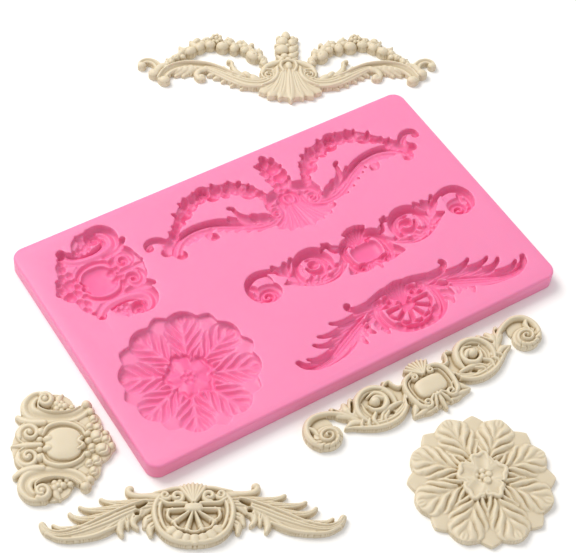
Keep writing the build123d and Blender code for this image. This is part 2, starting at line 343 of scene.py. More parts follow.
def section_height(section: Section, across: np.ndarray, along: np.ndarray, rim: float,
                   ribs: float) -> np.ndarray:
    """Gives a stroke's height across its width.

    Args:
        section: the shape.
        across: distance from the middle line, minus one to one at the edges.
        along: distance along the stroke, in stroke half widths.
        rim: the height right at the edge, as a share.
        ribs: veins for each half width of length, or reeds across the width.

    Returns:
        The height, as a share of the stroke's full height.
    """
    edge = np.clip(1 - across ** 2, 0, 1)
    dome = rim + (1 - rim) * np.sqrt(edge)
    if section is Section.HOLLOW:  # the gutter takes a third of the height and 0.42 of the width
        return dome - 0.34 * np.exp(-(across / 0.42) ** 2)
    if section is Section.FLAT:
        return rim + (1 - rim) * np.clip(1 - np.abs(across) ** 7, 0, 1)
    if section is Section.LEAF:
        veins = np.abs(np.cos(math.pi * (along * ribs - 1.2 * ribs * np.abs(across))))
        held = np.clip(2.2 * edge, 0, 1) * np.clip(np.abs(across) / 0.25, 0, 1)
        folds = 0.44 * (veins ** 0.8 - 0.76) * held
        vein = 0.2 * np.exp(-(across / 0.13) ** 2)
        return dome - vein + folds
    if section is Section.REEDED:
        return dome + 0.16 * (np.abs(np.cos(math.pi * across * ribs / 2)) - 0.7) * np.sqrt(edge)
    return dome


@dataclass
class Relief:
    """A grid of heights in millimetres over a flat back, zero where there is nothing."""

    half_x: float
    half_y: float
    pitch: float = 0.15
    xs: np.ndarray = field(init=False)
    ys: np.ndarray = field(init=False)
    z: np.ndarray = field(init=False)

    def __post_init__(self) -> None:
        """Lays out an empty grid, even on both sides of both axes."""
        nx, ny = (int(math.ceil((half + SPARE) / self.pitch)) for half in (self.half_x, self.half_y))
        self.xs = np.arange(-nx, nx + 1) * self.pitch
        self.ys = np.arange(-ny, ny + 1) * self.pitch
        self.z = np.zeros((len(self.ys), len(self.xs)))

    def _window(self, low: np.ndarray, high: np.ndarray) -> tuple[slice, slice, np.ndarray, np.ndarray]:
        """Finds the grid's part inside a box.

        Args:
            low: the box's lowest x and y.
            high: its highest.

        Returns:
            Slices over y and x, and the samples' x and y.
        """
        cols = slice(*np.searchsorted(self.xs, [low[0], high[0]]))
        rows = slice(*np.searchsorted(self.ys, [low[1], high[1]]))
        return rows, cols, *np.meshgrid(self.xs[cols], self.ys[rows])

    def _nearest(self, points: Sequence[Point], widths: Sequence[float]) -> tuple | None:
        """Measures every sample near a line against it.

        Args:
            points: the line's points.
            widths: half widths, spread evenly over the points.

        Returns:
            Slices, the signed distance in half widths, the share of the length, and the length. None
            where the line misses the grid.
        """
        line = smooth_line(points)
        lengths = np.hypot(*np.diff(line, axis=0).T)
        place = np.concatenate([[0], np.cumsum(lengths)])
        share = place / place[-1]
        half = np.interp(share, np.linspace(0, 1, len(widths)), widths)
        reach = half.max()
        rows, cols, gx, gy = self._window(line.min(0) - reach, line.max(0) + reach)
        if gx.size == 0:
            return None
        best = np.full(gx.shape, np.inf)
        side = np.ones(gx.shape)
        at = np.zeros(gx.shape)
        for k, (a, b) in enumerate(zip(line[:-1], line[1:])):
            step = b - a
            t = np.clip(((gx - a[0]) * step[0] + (gy - a[1]) * step[1]) / max(step @ step, TINY ** 2), 0, 1)
            dx, dy = gx - a[0] - t * step[0], gy - a[1] - t * step[1]
            ratio = np.hypot(dx, dy) / (half[k] + (half[k + 1] - half[k]) * t)
            closer = ratio < best
            best = np.where(closer, ratio, best)
            side = np.where(closer, np.where(step[0] * dy >= step[1] * dx, 1, -1), side)
            at = np.where(closer, share[k] + (share[k + 1] - share[k]) * t, at)
        return rows, cols, best * side, at, place[-1]

    def stroke(self, points: Sequence[Point], widths: Sequence[float], heights: Sequence[float],
               section: Section = Section.ROUND, rim: float = 0.4, ribs: float = 1.0) -> None:
        """Adds a stroke, where it stands higher than what is there.

        Args:
            points: its middle line.
            widths: half widths along it.
            heights: heights along it.
            section: its shape across.
            rim: the height at its edge, as a share.
            ribs: how close its veins or reeds are.
        """
        found = self._nearest(points, widths)
        if found is None:
            return
        rows, cols, across, at, length = found
        tall = np.interp(at, np.linspace(0, 1, len(heights)), heights)
        half = float(np.mean(widths))
        shape = tall * section_height(section, np.clip(across, -1, 1), at * length / half, rim, ribs)
        shape = np.where(np.abs(across) < 1, shape, 0)
        self.z[rows, cols] = np.maximum(self.z[rows, cols], shape)

    def boss(self, x: float, y: float, rx: float, ry: float, height: float, rim: float = 0.6,
             turn: float = 0.0, power: float = 2.0, square: float = 2.0) -> None:
        """Adds a domed oval or rounded plate.

        Args:
            x: its middle.
            y: its middle.
            rx: half its width, before it is turned.
            ry: half its depth.
            height: its height.
            rim: the height at its edge, as a share.
            turn: degrees, counter-clockwise.
            power: two is a round dome, more is a flatter one.
            square: two is an oval outline, more is closer to a rectangle.
        """
        reach = max(rx, ry)
        rows, cols, gx, gy = self._window(np.array([x - reach, y - reach]), np.array([x + reach, y + reach]))
        c, s = math.cos(math.radians(turn)), math.sin(math.radians(turn))
        u, v = ((gx - x) * c + (gy - y) * s) / rx, ((gy - y) * c - (gx - x) * s) / ry
        ratio = (np.abs(u) ** square + np.abs(v) ** square) ** (1 / square)
        dome = height * (rim + (1 - rim) * np.sqrt(np.clip(1 - ratio ** power, 0, 1)))
        self.z[rows, cols] = np.maximum(self.z[rows, cols], np.where(ratio < 1, dome, 0))

    def scroll(self, x: float, y: float, outer: float, inner: float, first: float, sweep: float,
               widths: Sequence[float], heights: Sequence[float], section: Section = Section.ROUND,
               ry: float = 1.0) -> None:
        """Adds a spiral stroke.

        Args:
            x: its centre.
            y: its centre.
            outer: the radius it starts at.
            inner: the radius it ends at.
            first: the starting angle, in degrees.
            sweep: how far it turns, in degrees, negative for clockwise.
            widths: half widths along it.
            heights: heights along it.
            section: its shape across.
            ry: depth over width, to make it oval.
        """
        count = max(5, int(abs(sweep) / 30))
        points = []
        for k in range(count + 1):
            share = k / count
            turn = math.radians(first + sweep * share)
            radius = outer + (inner - outer) * share
            points.append((x + radius * math.cos(turn), y + ry * radius * math.sin(turn)))
        self.stroke(points, widths, heights, section, rim=SCROLL_RIM)

    def cut(self, points: Sequence[Point], widths: Sequence[float], depth: float) -> None:
        """Cuts a round groove into what is there, down to a thin web at the deepest.

        Args:
            points: its middle line.
            widths: half widths along it.
            depth: how deep it is in the middle.
        """
        found = self._nearest(points, widths)
        if found is None:
            return
        rows, cols, across, _, _ = found
        bite = depth * np.clip(1 - across ** 2, 0, 1) ** 1.5
        here = self.z[rows, cols]
        self.z[rows, cols] = np.where(here > 0, np.maximum(here - bite, np.minimum(here, WEB)), 0)

    def press(self, mesh: bpy.types.Mesh, move: Point = (0.0, 0.0)) -> None:
        """Presses a mesh into the grid from above, and drops the mesh.

        Args:
            mesh: the mesh, in millimetres.
            move: where its own origin goes.
        """
        corners = np.empty(len(mesh.vertices) * 3)
        mesh.vertices.foreach_get("co", corners)
        corners = corners.reshape(-1, 3) + (*move, 0.0)
        tree = BVHTree.FromPolygons(corners.tolist(), [tuple(p.vertices) for p in mesh.polygons])
        rows, cols, gx, gy = self._window(corners.min(0)[:2], corners.max(0)[:2])
        down = Vector((0, 0, -1))
        above = 50.0
        hits = [tree.ray_cast(Vector((x, y, above)), down)[0] for x, y in zip(gx.ravel(), gy.ravel())]
        found = np.array([0.0 if hit is None else hit.z for hit in hits]).reshape(gx.shape)
        self.z[rows, cols] = np.maximum(self.z[rows, cols], found)
        bpy.data.meshes.remove(mesh)

    def mirror(self, axis: int = 1) -> None:
        """Copies each side onto the other, keeping the higher. Axis 1 swaps left and right."""
        self.z = np.maximum(self.z, np.flip(self.z, axis))

    def finish(self, ceiling: float) -> None:
        """Stretches the frame to the ornament's true size, softens the surface and limits its height.

        Args:
            ceiling: the greatest height.
        """
        solid = self.z > 0
        for axis, half in (("xs", self.half_x), ("ys", self.half_y)):
            marks = getattr(self, axis)
            used = marks[solid.any(0 if axis == "xs" else 1)]
            setattr(self, axis, (marks - (used[0] + used[-1]) / 2) * 2 * half / (used[-1] - used[0]))
        smooth = blurred(self.z, 1) / np.maximum(blurred(solid, 1), TINY)
        self.z = np.where(solid, np.minimum(smooth, ceiling), 0)

    def inside(self) -> np.ndarray:
        """Gives a smooth field that is positive inside the outline."""
        return blurred(self.z > 0, EDGE_PASSES) - 0.5

    def spread(self) -> np.ndarray:
        """Carries the heights outwards past the outline, so that they can be read beside it.

        Returns:
            The wider grid of heights.
        """
        out, known = self.z.copy(), self.z > 0
        for _ in range(EDGE_PASSES):
            weight = blurred(known, 1)
            carried = blurred(out * known, 1) / np.maximum(weight, TINY)
            grown = weight > TINY
            out = np.where(known, out, np.where(grown, carried, 0))
            known = known | grown
        return out

    def crevice(self) -> np.ndarray:
        """Measures how far each sample lies below what is round it, which sets the painted crevice shade
        there.

        Returns:
            How much painted crevice shade each sample takes, from zero to one.
        """
        filled = self.spread()
        wide = blurred(filled, CREVICE_PASSES)
        return np.clip((wide - filled) / CREVICE_DEPTH + CREVICE_START, 0, 1)


def read(grid: np.ndarray, relief: Relief, x: np.ndarray, y: np.ndarray) -> np.ndarray:
    """Reads a relief's grid between its samples.

    Args:
        grid: the grid to read, of the relief's size.
        relief: whose frame it is in.
        x: where, in millimetres.
        y: where.

    Returns:
        The values, zero outside the grid.
    """
    fx = (np.asarray(x) - relief.xs[0]) / (relief.xs[1] - relief.xs[0])
    fy = (np.asarray(y) - relief.ys[0]) / (relief.ys[1] - relief.ys[0])
    within = (fx >= 0) & (fy >= 0) & (fx < len(relief.xs) - 1) & (fy < len(relief.ys) - 1)
    ix = np.clip(fx.astype(int), 0, len(relief.xs) - 2)
    iy = np.clip(fy.astype(int), 0, len(relief.ys) - 2)
    tx, ty = fx - ix, fy - iy
    low = grid[iy, ix] * (1 - tx) + grid[iy, ix + 1] * tx
    high = grid[iy + 1, ix] * (1 - tx) + grid[iy + 1, ix + 1] * tx
    return np.where(within, low * (1 - ty) + high * ty, 0)


# ---- meshes from reliefs ---------------------------------------------------------------------------
def without_saddles(values: np.ndarray) -> np.ndarray:
    """Raises the corners of every cell whose inside touches only across a corner.

    Args:
        values: positive inside, negative outside.

    Returns:
        The same field, with no such cell and no zero.
    """
    barely_outside, barely_inside = -1e-4, 0.02
    out = np.where(values == 0, barely_outside, values)
    while True:
        inside = out > 0
        a, b, c, d = inside[:-1, :-1], inside[:-1, 1:], inside[1:, 1:], inside[1:, :-1]
        saddle = (a == c) & (b == d) & (a != b)
        if not saddle.any():
            return out
        for rows in (slice(None, -1), slice(1, None)):
            for cols in (slice(None, -1), slice(1, None)):
                part = out[rows, cols]
                out[rows, cols] = np.where(saddle & (part <= 0), barely_inside, part)


@dataclass
class Outline:
    """Where a field's zero line crosses a grid, cell by cell.

    A crossing stays clear of the grid's corners by a share of a cell, so that no face is a sliver.
    """

    field_values: np.ndarray
    clear: float = 0.06
    inside: np.ndarray = field(init=False)
    across: np.ndarray = field(init=False)
    along: np.ndarray = field(init=False)
    spots: np.ndarray = field(init=False)

    def __post_init__(self) -> None:
        """Numbers the crossings and finds where each is, in grid steps."""
        values = self.field_values = without_saddles(self.field_values)
        self.inside = values > 0
        flat = self.inside[:, :-1] != self.inside[:, 1:]
        tall = self.inside[:-1] != self.inside[1:]
        self.across = np.full(flat.shape, -1)
        self.across[flat] = np.arange(flat.sum())
        self.along = np.full(tall.shape, -1)
        self.along[tall] = flat.sum() + np.arange(tall.sum())
        fy, fx = np.nonzero(flat)
        ty, tx = np.nonzero(tall)
        share_x = values[fy, fx] / (values[fy, fx] - values[fy, fx + 1])
        share_y = values[ty, tx] / (values[ty, tx] - values[ty + 1, tx])
        share_x, share_y = (np.clip(share, self.clear, 1 - self.clear) for share in (share_x, share_y))
        self.spots = np.vstack([np.column_stack([fx + share_x, fy]), np.column_stack([tx, ty + share_y])])

    def full(self, wanted: np.ndarray) -> np.ndarray:
        """Finds the cells whose four corners are all wanted."""
        return wanted[:-1, :-1] & wanted[:-1, 1:] & wanted[1:, 1:] & wanted[1:, :-1]

    def mixed(self) -> Iterable[tuple[list, list, tuple[int, int]]]:
        """Walks the cells that the line crosses.

        Returns:
            For each: its inside polygon and its outside polygon, as lists of ("g", row, column)
            corners and ("c", number) crossings, and its stretch of the line, inside to the left.
        """
        s = self.inside
        crossed = ~(self.full(s) | self.full(~s))
        for j, i in zip(*np.nonzero(crossed)):
            walk = [("g", j, i), ("c", self.across[j, i]), ("g", j, i + 1), ("c", self.along[j, i + 1]),
                    ("g", j + 1, i + 1), ("c", self.across[j + 1, i]), ("g", j + 1, i),
                    ("c", self.along[j, i])]
            walk = [w for w in walk if w[0] == "g" or w[1] >= 0]
            inner = [w for w in walk if w[0] == "c" or s[w[1], w[2]]]
            outer = [w for w in walk if w[0] == "c" or not s[w[1], w[2]]]
            for a, b in zip(inner, inner[1:] + inner[:1]):
                beyond = walk[(walk.index(a) + 1) % len(walk)]
                if a[0] == b[0] == "c" and beyond not in inner:
                    yield inner, outer, (a[1], b[1])
                    break


def loops(pairs: Sequence[tuple[int, int]]) -> list[list[int]]:
    """Chains directed edges into closed loops.

    Args:
        pairs: start and end of each edge.

    Returns:
        The loops, each as its vertices in order.
    """
    following = dict(pairs)
    chains = []
    while following:
        first, at = following.popitem()
        chain = [first]
        while at != first:
            chain.append(at)
            at = following.pop(at)
        chains.append(chain)
    return chains


def grid_quads(cells: np.ndarray, number: np.ndarray) -> list[list[int]]:
    """Makes a face of each chosen cell, from its corners' vertex numbers."""
    j, i = np.nonzero(cells)
    return np.column_stack([number[j, i], number[j, i + 1], number[j + 1, i + 1], number[j + 1, i]]).tolist()


def filled_flat(rings: Sequence[Sequence[int]], spots: np.ndarray, upwards: bool) -> list[list[int]]:
    """Fills flat rings, holes included, with triangles.

    Args:
        rings: each ring's vertex numbers.
        spots: every vertex's place.
        upwards: whether the faces point up.

    Returns:
        The triangles' vertex numbers.
    """
    order = [v for ring in rings for v in ring]
    triangles = tessellate_polygon([[Vector((*spots[v][:2], 0)) for v in ring] for ring in rings])
    out = []
    for tri in triangles:
        a, b, c = (order[t] for t in tri)
        if len({a, b, c}) < 3:
            continue
        area = np.cross(spots[b][:2] - spots[a][:2], spots[c][:2] - spots[a][:2])
        out.append([a, b, c] if (area > 0) == upwards else [a, c, b])
    return out


def new_object(name: str, spots: np.ndarray, faces: list, material: bpy.types.Material) -> bpy.types.Object:
    """Makes an object.

    Args:
        name: its name.
        spots: vertex places, in millimetres.
        faces: vertex numbers of each face.
        material: its material.

    Returns:
        The object, in metres, linked to the scene.
    """
    mesh = bpy.data.meshes.new(name)
    mesh.from_pydata((np.asarray(spots) * MM).tolist(), [], faces)
    mesh.materials.append(material)
    thing = bpy.data.objects.new(name, mesh)
    bpy.context.scene.collection.objects.link(thing)
    return thing


def thinned(thing: bpy.types.Object, budget: int) -> None:
    """Merges triangles where the surface is plain, until the piece is within its budget.

    Args:
        thing: the piece.
        budget: the most triangles.
    """
    count = sum(len(p.vertices) - 2 for p in thing.data.polygons)
    if count <= budget:
        return
    modifier = thing.modifiers.new("thin", "DECIMATE")
    modifier.ratio = budget / count
    evaluated = thing.evaluated_get(bpy.context.evaluated_depsgraph_get())
    mesh = bpy.data.meshes.new_from_object(evaluated)
    thing.modifiers.remove(modifier)
    old, name = thing.data, thing.data.name
    thing.data = mesh
    bpy.data.meshes.remove(old)
    mesh.name = name


def creased(thing: bpy.types.Object, degrees: float) -> None:
    """Shades every edge that turns by more than an angle as an edge, so that walls stay plain.

    Args:
        thing: the piece.
        degrees: the angle.
    """
    for face in thing.data.polygons:
        face.use_smooth = True
    thing.data.set_sharp_from_angle(angle=math.radians(degrees))


def corners_of(thing: bpy.types.Object) -> np.ndarray:
    """Reads an object's vertices.

    Args:
        thing: the object.

    Returns:
        Their places in metres, one row for each.
    """
    out = np.empty(len(thing.data.vertices) * 3)
    thing.data.vertices.foreach_get("co", out)
    return out.reshape(-1, 3)


def mark(thing: bpy.types.Object, name: str, values: np.ndarray) -> None:
    """Stores a number at each vertex, for the material to read."""
    layer = thing.data.attributes.new(name, "FLOAT", "POINT")
    layer.data.foreach_set("value", np.asarray(values, np.float32))


# ---- finishes ----------------------------------------------------------------------------------------
@dataclass(frozen=True)
class Finish:
    """A moulded material: its body colour, and a deeper colour painted into its hollows as shade.

    The attribute says how far into a hollow each place is, and so how much of that painted shade it takes.
    Light passes through the skin to a depth of scatter_mm and comes out in the glow's colour, and the tone
    drifts over patches of mottle_mm.
    """

    name: str
    body: str
    # hollow: the colour painted into the hollows as shade.
    hollow: str
    glow: str
    roughness: float
    ior: float
    scatter: float
    scatter_mm: float
    mottle_mm: float
    mottle: float
    attribute: str

    def build(self) -> bpy.types.Material:
        """Builds the material.

        Returns:
            The material, with its node tree.
        """
        material = bpy.data.materials.new(self.name)
        material.use_nodes = True
        tree = material.node_tree
        tree.nodes.clear()
        place = add_node(tree, "ShaderNodeTexCoord").outputs["Object"]
        cloud = add_node(tree, "ShaderNodeTexNoise", {
            "Vector": place, "Scale": 1 / (self.mottle_mm * MM), "Detail": 3.0, "Roughness": 0.6})
        # The attribute says how much painted shade each place takes.
        depth = add_node(tree, "ShaderNodeAttribute", attribute_name=self.attribute)
        patchy = add_node(tree, "ShaderNodeMath", {
            0: cloud.outputs["Fac"], 1: self.mottle, 2: -0.5 * self.mottle}, operation="MULTIPLY_ADD")
        # Painted shade plus the random mottle.
        painted_shade_and_mottle = add_node(tree, "ShaderNodeMath", {
            0: depth.outputs["Fac"], 1: patchy.outputs[0]}, operation="ADD", use_clamp=True)
        # Mixes the body colour towards the hollow colour, which is painted shade.
        tone = add_node(tree, "ShaderNodeMix", {
            0: painted_shade_and_mottle.outputs[0], 6: linear(self.body), 7: linear(self.hollow)}, data_type="RGBA")
        shader = add_node(tree, "ShaderNodeBsdfPrincipled", {
            "Base Color": tone.outputs[2], "Roughness": self.roughness, "IOR": self.ior,
            "Subsurface Weight": self.scatter, "Subsurface Scale": self.scatter_mm * MM})
        shader.inputs["Subsurface Radius"].default_value = linear(self.glow)[:3]
        add_node(tree, "ShaderNodeOutputMaterial", {"Surface": shader.outputs[0]})
        return material


# Platinum-cure silicone rubber, poured over a master and left to set: an even, slightly see-through
# pink with a satin skin. Its hollows are painted a deeper, more saturated pink as shade, for the light
# that bounces in them.
SILICONE = Finish("moulded_pink_silicone", "#ee87b1", "#ee6a9e", "#ff6a92", 0.42, 1.41, 0.3, 1.6, 9.0, 0.05,
                  "depth")

# Polyurethane casting resin, filled and unpainted: a matt cream with a soft skin. Its crevices are painted
# warmer and browner as shade, for the light that bounces between its own walls.
RESIN = Finish("cast_cream_resin", "#dbceb4", "#9c8152", "#f5d9a8", 0.5, 1.5, 0.18, 0.9, 6.0, 0.08, "crevice")


# ---- the five ornaments ------------------------------------------------------------------------------
R, H, L, F, D = Section.ROUND, Section.HOLLOW, Section.LEAF, Section.FLAT, Section.REEDED  # for short


def blade(length: float, half: float, tall: float, section: Section, tip: float = 0.75, ribs: float = 1.0,
          base: float = 0.4, sag: float = 0.2, rim: float = 0.45, point: float = 2.2) -> bpy.types.Mesh:
    """Builds one petal, flute or rib, along +X from the origin.

    Args:
        length: its length.
        half: its greatest half width.
        tall: its height.
        section: its shape across.
        tip: where along it the greatest width is, as a share.
        ribs: how close its veins are.
        base: the half width at the origin, as a share of the greatest.
        sag: how much lower it is at its far end, as a share.
        rim: the height at its edge, as a share.
        point: how blunt its far end is, from one for a point to two and more for a round end.

    Returns:
        The upper surface, in millimetres.
    """
    rows, cols = 90, 47
    t = np.linspace(0, 1, rows)[:, None]
    u = np.linspace(-0.999, 0.999, cols)[None, :]
    rise = base + (1 - base) * np.sin(np.clip(t / tip, 0, 1) * math.pi / 2)
    fall = np.clip(1 - (np.clip(t - tip, 0, 1) / (1 - tip)) ** 2.2, 0, 1) ** (1 / point)
    scallop = np.abs(np.cos(math.pi * ribs * (t * length / half - 1.2))) if section is Section.LEAF else 0.5
    width = half * rise * fall * (0.95 + 0.1 * scallop) + 1e-3
    plain = section_height(Section.ROUND, u, t, rim, ribs)
    shaped = section_height(section, u, t * length / half, rim, ribs)
    z = tall * (1 - sag * t ** 2) * (plain + (shaped - plain) * (1 - t ** 5))
    x = np.broadcast_to(t * length, z.shape)
    spots = np.stack([x, u * width, z], -1).reshape(-1, 3)
    mesh = bpy.data.meshes.new("blade")
    j, i = np.meshgrid(np.arange(rows - 1), np.arange(cols - 1), indexing="ij")
    a = (j * cols + i).ravel()
    mesh.from_pydata(spots.tolist(), [], np.column_stack([a, a + 1, a + cols + 1, a + cols]).tolist())
    return mesh


def pearl(radius: float, middle: float) -> bpy.types.Mesh:
    """Builds a bead.

    Args:
        radius: its radius.
        middle: its middle's height above the back.

    Returns:
        The bead, in millimetres.
    """
    made = bmesh.new()
    bmesh.ops.create_icosphere(made, subdivisions=4, radius=radius, matrix=Matrix.Translation((0, 0, middle)))
    mesh = bpy.data.meshes.new("pearl")
    made.to_mesh(mesh)
    made.free()
    return mesh


@dataclass(kw_only=True)
class Ornament(Relief):
    """A relief that draws itself. Each kind has its own drawing and its own sizes, in millimetres."""

    shop: Workshop
    name: str
    ceiling: float = 4.85

    def draw(self) -> None:
        """Draws the ornament into its empty grid."""
        raise NotImplementedError

    def sculpt(self) -> Relief:
        """Draws the ornament and finishes its grid.

        Returns:
            The ornament, which is its own relief.
        """
        self.draw()
        self.finish(self.ceiling)
        log.info("%s: relief of %d samples", self.name, self.z.size)
        return self


@dataclass(kw_only=True)
class Crown(Ornament):
    """A flared shell with a bud cluster standing above it, two fruit garlands and two leaf arms."""

    name: str = "crown"
    half_x: float = 62.25
    half_y: float = 20.2
    fruit: int = 30

    def draw(self) -> None:
        """Draws the right half and mirrors it, then adds what isn't even on both sides."""
        self._arm()
        self._leaves()
        self._shell()
        self._garland()
        self.mirror()
        self._buds()

    def _arm(self) -> None:
        """Draws the long double rail of the arm and its end scrolls."""
        self.stroke([(8, -8.6), (12, -10.2), (17, -9.9), (22, -7.8), (27, -4.8), (31, -2.6), (34, -1.4)],
                    [2.7, 2.9, 2.8, 2.8, 2.6, 2.2, 1.5], [3.2, 3.1, 3.0, 2.9, 2.8], D, rim=0.66, ribs=4)
        self.stroke([(22, -6.8), (27, -3.8), (32, -1.2), (38, 0.0), (43, 0.0), (47.6, -1.6), (51, -4.6),
                     (52.3, -7.6)], [1.6, 2.0, 2.2, 2.1, 2.0, 1.9, 1.9, 2.0],
                    [3.2, 3.2, 3.2, 3.1, 3.1, 3.1], H, rim=0.6)
        self.stroke([(18, -7.2), (23, -5.0), (28, -1.9), (33, 0.4), (38, 1.4), (43, 1.5), (48, 0.1),
                     (51.8, -2.9), (53.9, -6.8)], [0.5, 0.8, 0.9, 0.9, 0.85, 0.8, 0.75, 0.75, 0.8],
                    [3.3, 3.7, 3.8, 3.7, 3.5, 3.4], rim=0.35)
        self.stroke([(10, -12.3), (16, -12.2), (21, -10.2), (26, -7.2)], [0.7, 0.9, 0.8, 0.4],
                    [3.0, 3.2, 3.0, 2.6], rim=0.35)
        self.boss(51.4, -8.4, 2.3, 2.1, 3.6, 0.5)
        self.stroke([(50.4, 0.2), (53.2, -1.2), (54.8, -3.8)], [1.8, 2.0, 1.9], [3.1, 3.3, 3.3])
        self.boss(55.6, -4.6, 2.4, 2.2, 3.8, 0.5)
        self.stroke([(54.2, -3.4), (53.9, -0.6), (55.6, 2.0), (58.2, 3.0), (60.3, 2.2), (60.9, 0.6)],
                    [2.0, 1.9, 1.75, 1.65, 1.6, 1.5], [3.3, 3.3, 3.2, 3.1, 3.0], H)
        self.boss(60.6, 0.2, 1.8, 1.7, 3.3, 0.5)

    def _leaves(self) -> None:
        """Draws the lobes on top of the arm, and the torn leaf edge and the curl under it."""
        self.stroke([(20.4, -6.4), (22.2, -3.2), (23.2, -0.2), (23.4, 2.0), (24.6, 2.9)],
                    [2.6, 1.8, 1.1, 0.9, 1.0], [3.2, 3.0, 2.8, 2.6])
        self.boss(14.6, -7.4, 3.2, 1.9, 3.3, 0.45, 38)
        self.boss(17.4, -5.6, 2.6, 1.5, 3.5, 0.45, 50)
        self.boss(19.4, -6.0, 2.4, 1.4, 3.2, 0.45, 48)
        self.stroke([(24.0, -5.6), (25.9, -3.0), (26.9, -0.8)], [2.0, 1.7, 0.6], [3.1, 3.0, 2.6])
        under = [([(20, -9.6), (22.6, -9.9), (24.2, -10.8)], 1.1),
                 ([(23.6, -7.6), (26.2, -7.6), (27.8, -8.5)], 1.2),
                 ([(26.4, -5.6), (29, -5.6), (30.9, -6.5)], 1.4),
                 ([(29.6, -3.8), (32.0, -4.1), (33.4, -5.0)], 1.3),
                 ([(38.6, -1.4), (40.0, -2.6), (40.5, -4.0)], 1.4),
                 ([(40.4, -1.4), (42.6, -2.8), (43.6, -4.8)], 1.9),
                 ([(42.8, -1.6), (45.2, -3.0), (46.8, -4.8)], 1.7),
                 ([(45.0, -2.0), (47.4, -3.2), (48.8, -4.4)], 1.3),
                 ([(15, -11.4), (18.2, -11.8), (20.2, -12.5)], 1.1)]
        for line, half in under:
            self.stroke(line, [1.15 * half, 1.1 * half, 0.5 * half], [2.8, 2.2, 1.4], rim=0.5)
        self.stroke([(34.4, -1.8), (36.9, -2.9), (38.0, -5.0), (37.2, -7.0), (35.6, -7.0)],
                    [1.7, 1.6, 1.5, 1.3, 1.2], [3.0, 2.8, 2.5, 2.4])
        self.boss(36.2, -6.2, 1.6, 1.5, 2.8, 0.45)

    def _shell(self) -> None:
        """Draws the flared shell with its pointed leaf ends, the shoulder, the volute and the horseshoe."""
        self.boss(0, -6, 7.2, 7.4, 3.6, 0.8)
        self.boss(0, -10.6, 10.8, 7.2, 3.0, 0.85)
        self.boss(0, -13.6, 7.0, 5.6, 3.0, 0.85)
        self.boss(6.6, -2.6, 5.0, 4.6, 2.4, 0.8)
        flutes = [([(4.6, -6.0), (7.0, -9.4), (10.2, -11.6), (13.8, -12.2)], 1.9, 3.3),
                  ([(3.8, -5.6), (6.2, -10.6), (9.4, -13.8), (12.8, -15.2)], 2.3, 3.4),
                  ([(2.8, -5.0), (4.8, -11.2), (7.0, -15.4), (9.2, -18.0)], 2.4, 3.6),
                  ([(1.6, -4.4), (2.6, -11.2), (3.8, -16.2), (4.9, -18.9)], 2.4, 3.7),
                  ([(0, -4.2), (0, -12), (0, -17.4), (0, -20.3)], 2.3, 3.9)]
        for line, half, tall in flutes:
            self.stroke(line, [0.8, 0.7 * half, 0.9 * half, half, half, 0.9 * half, 0.4],
                        [tall + 0.4, tall, tall - 0.4, tall - 0.9], rim=0.68)
            self.cut(line[:-1], [0.12, 0.26, 0.3, 0.12], 0.28)
        self.stroke([(4.8, -2.2), (5.0, -6.4), (7.2, -9.8), (11.4, -12.0)], [1.1, 1.3, 1.3, 0.8],
                    [4.1, 4.1, 3.9, 3.5])
        self.stroke([(3.0, 1.6), (6.6, 0.6), (9.6, -1.6), (11.0, -4.6)], [1.6, 1.7, 1.5, 1.2],
                    [3.6, 3.6, 3.6, 3.4])
        self.scroll(8.3, -6.0, 2.7, 0.9, 110, -400, [1.3, 1.25, 1.1, 0.9], [3.7, 4.0, 4.2], H)
        self.stroke([(0, 1.6), (2.5, 0.7), (3.3, -1.8), (2.3, -4.6)], [1.0, 1.05, 1.0, 0.9],
                    [4.6, 4.5, 4.4])
        self.boss(0, -1.5, 1.6, 2.3, 4.7, 0.7)

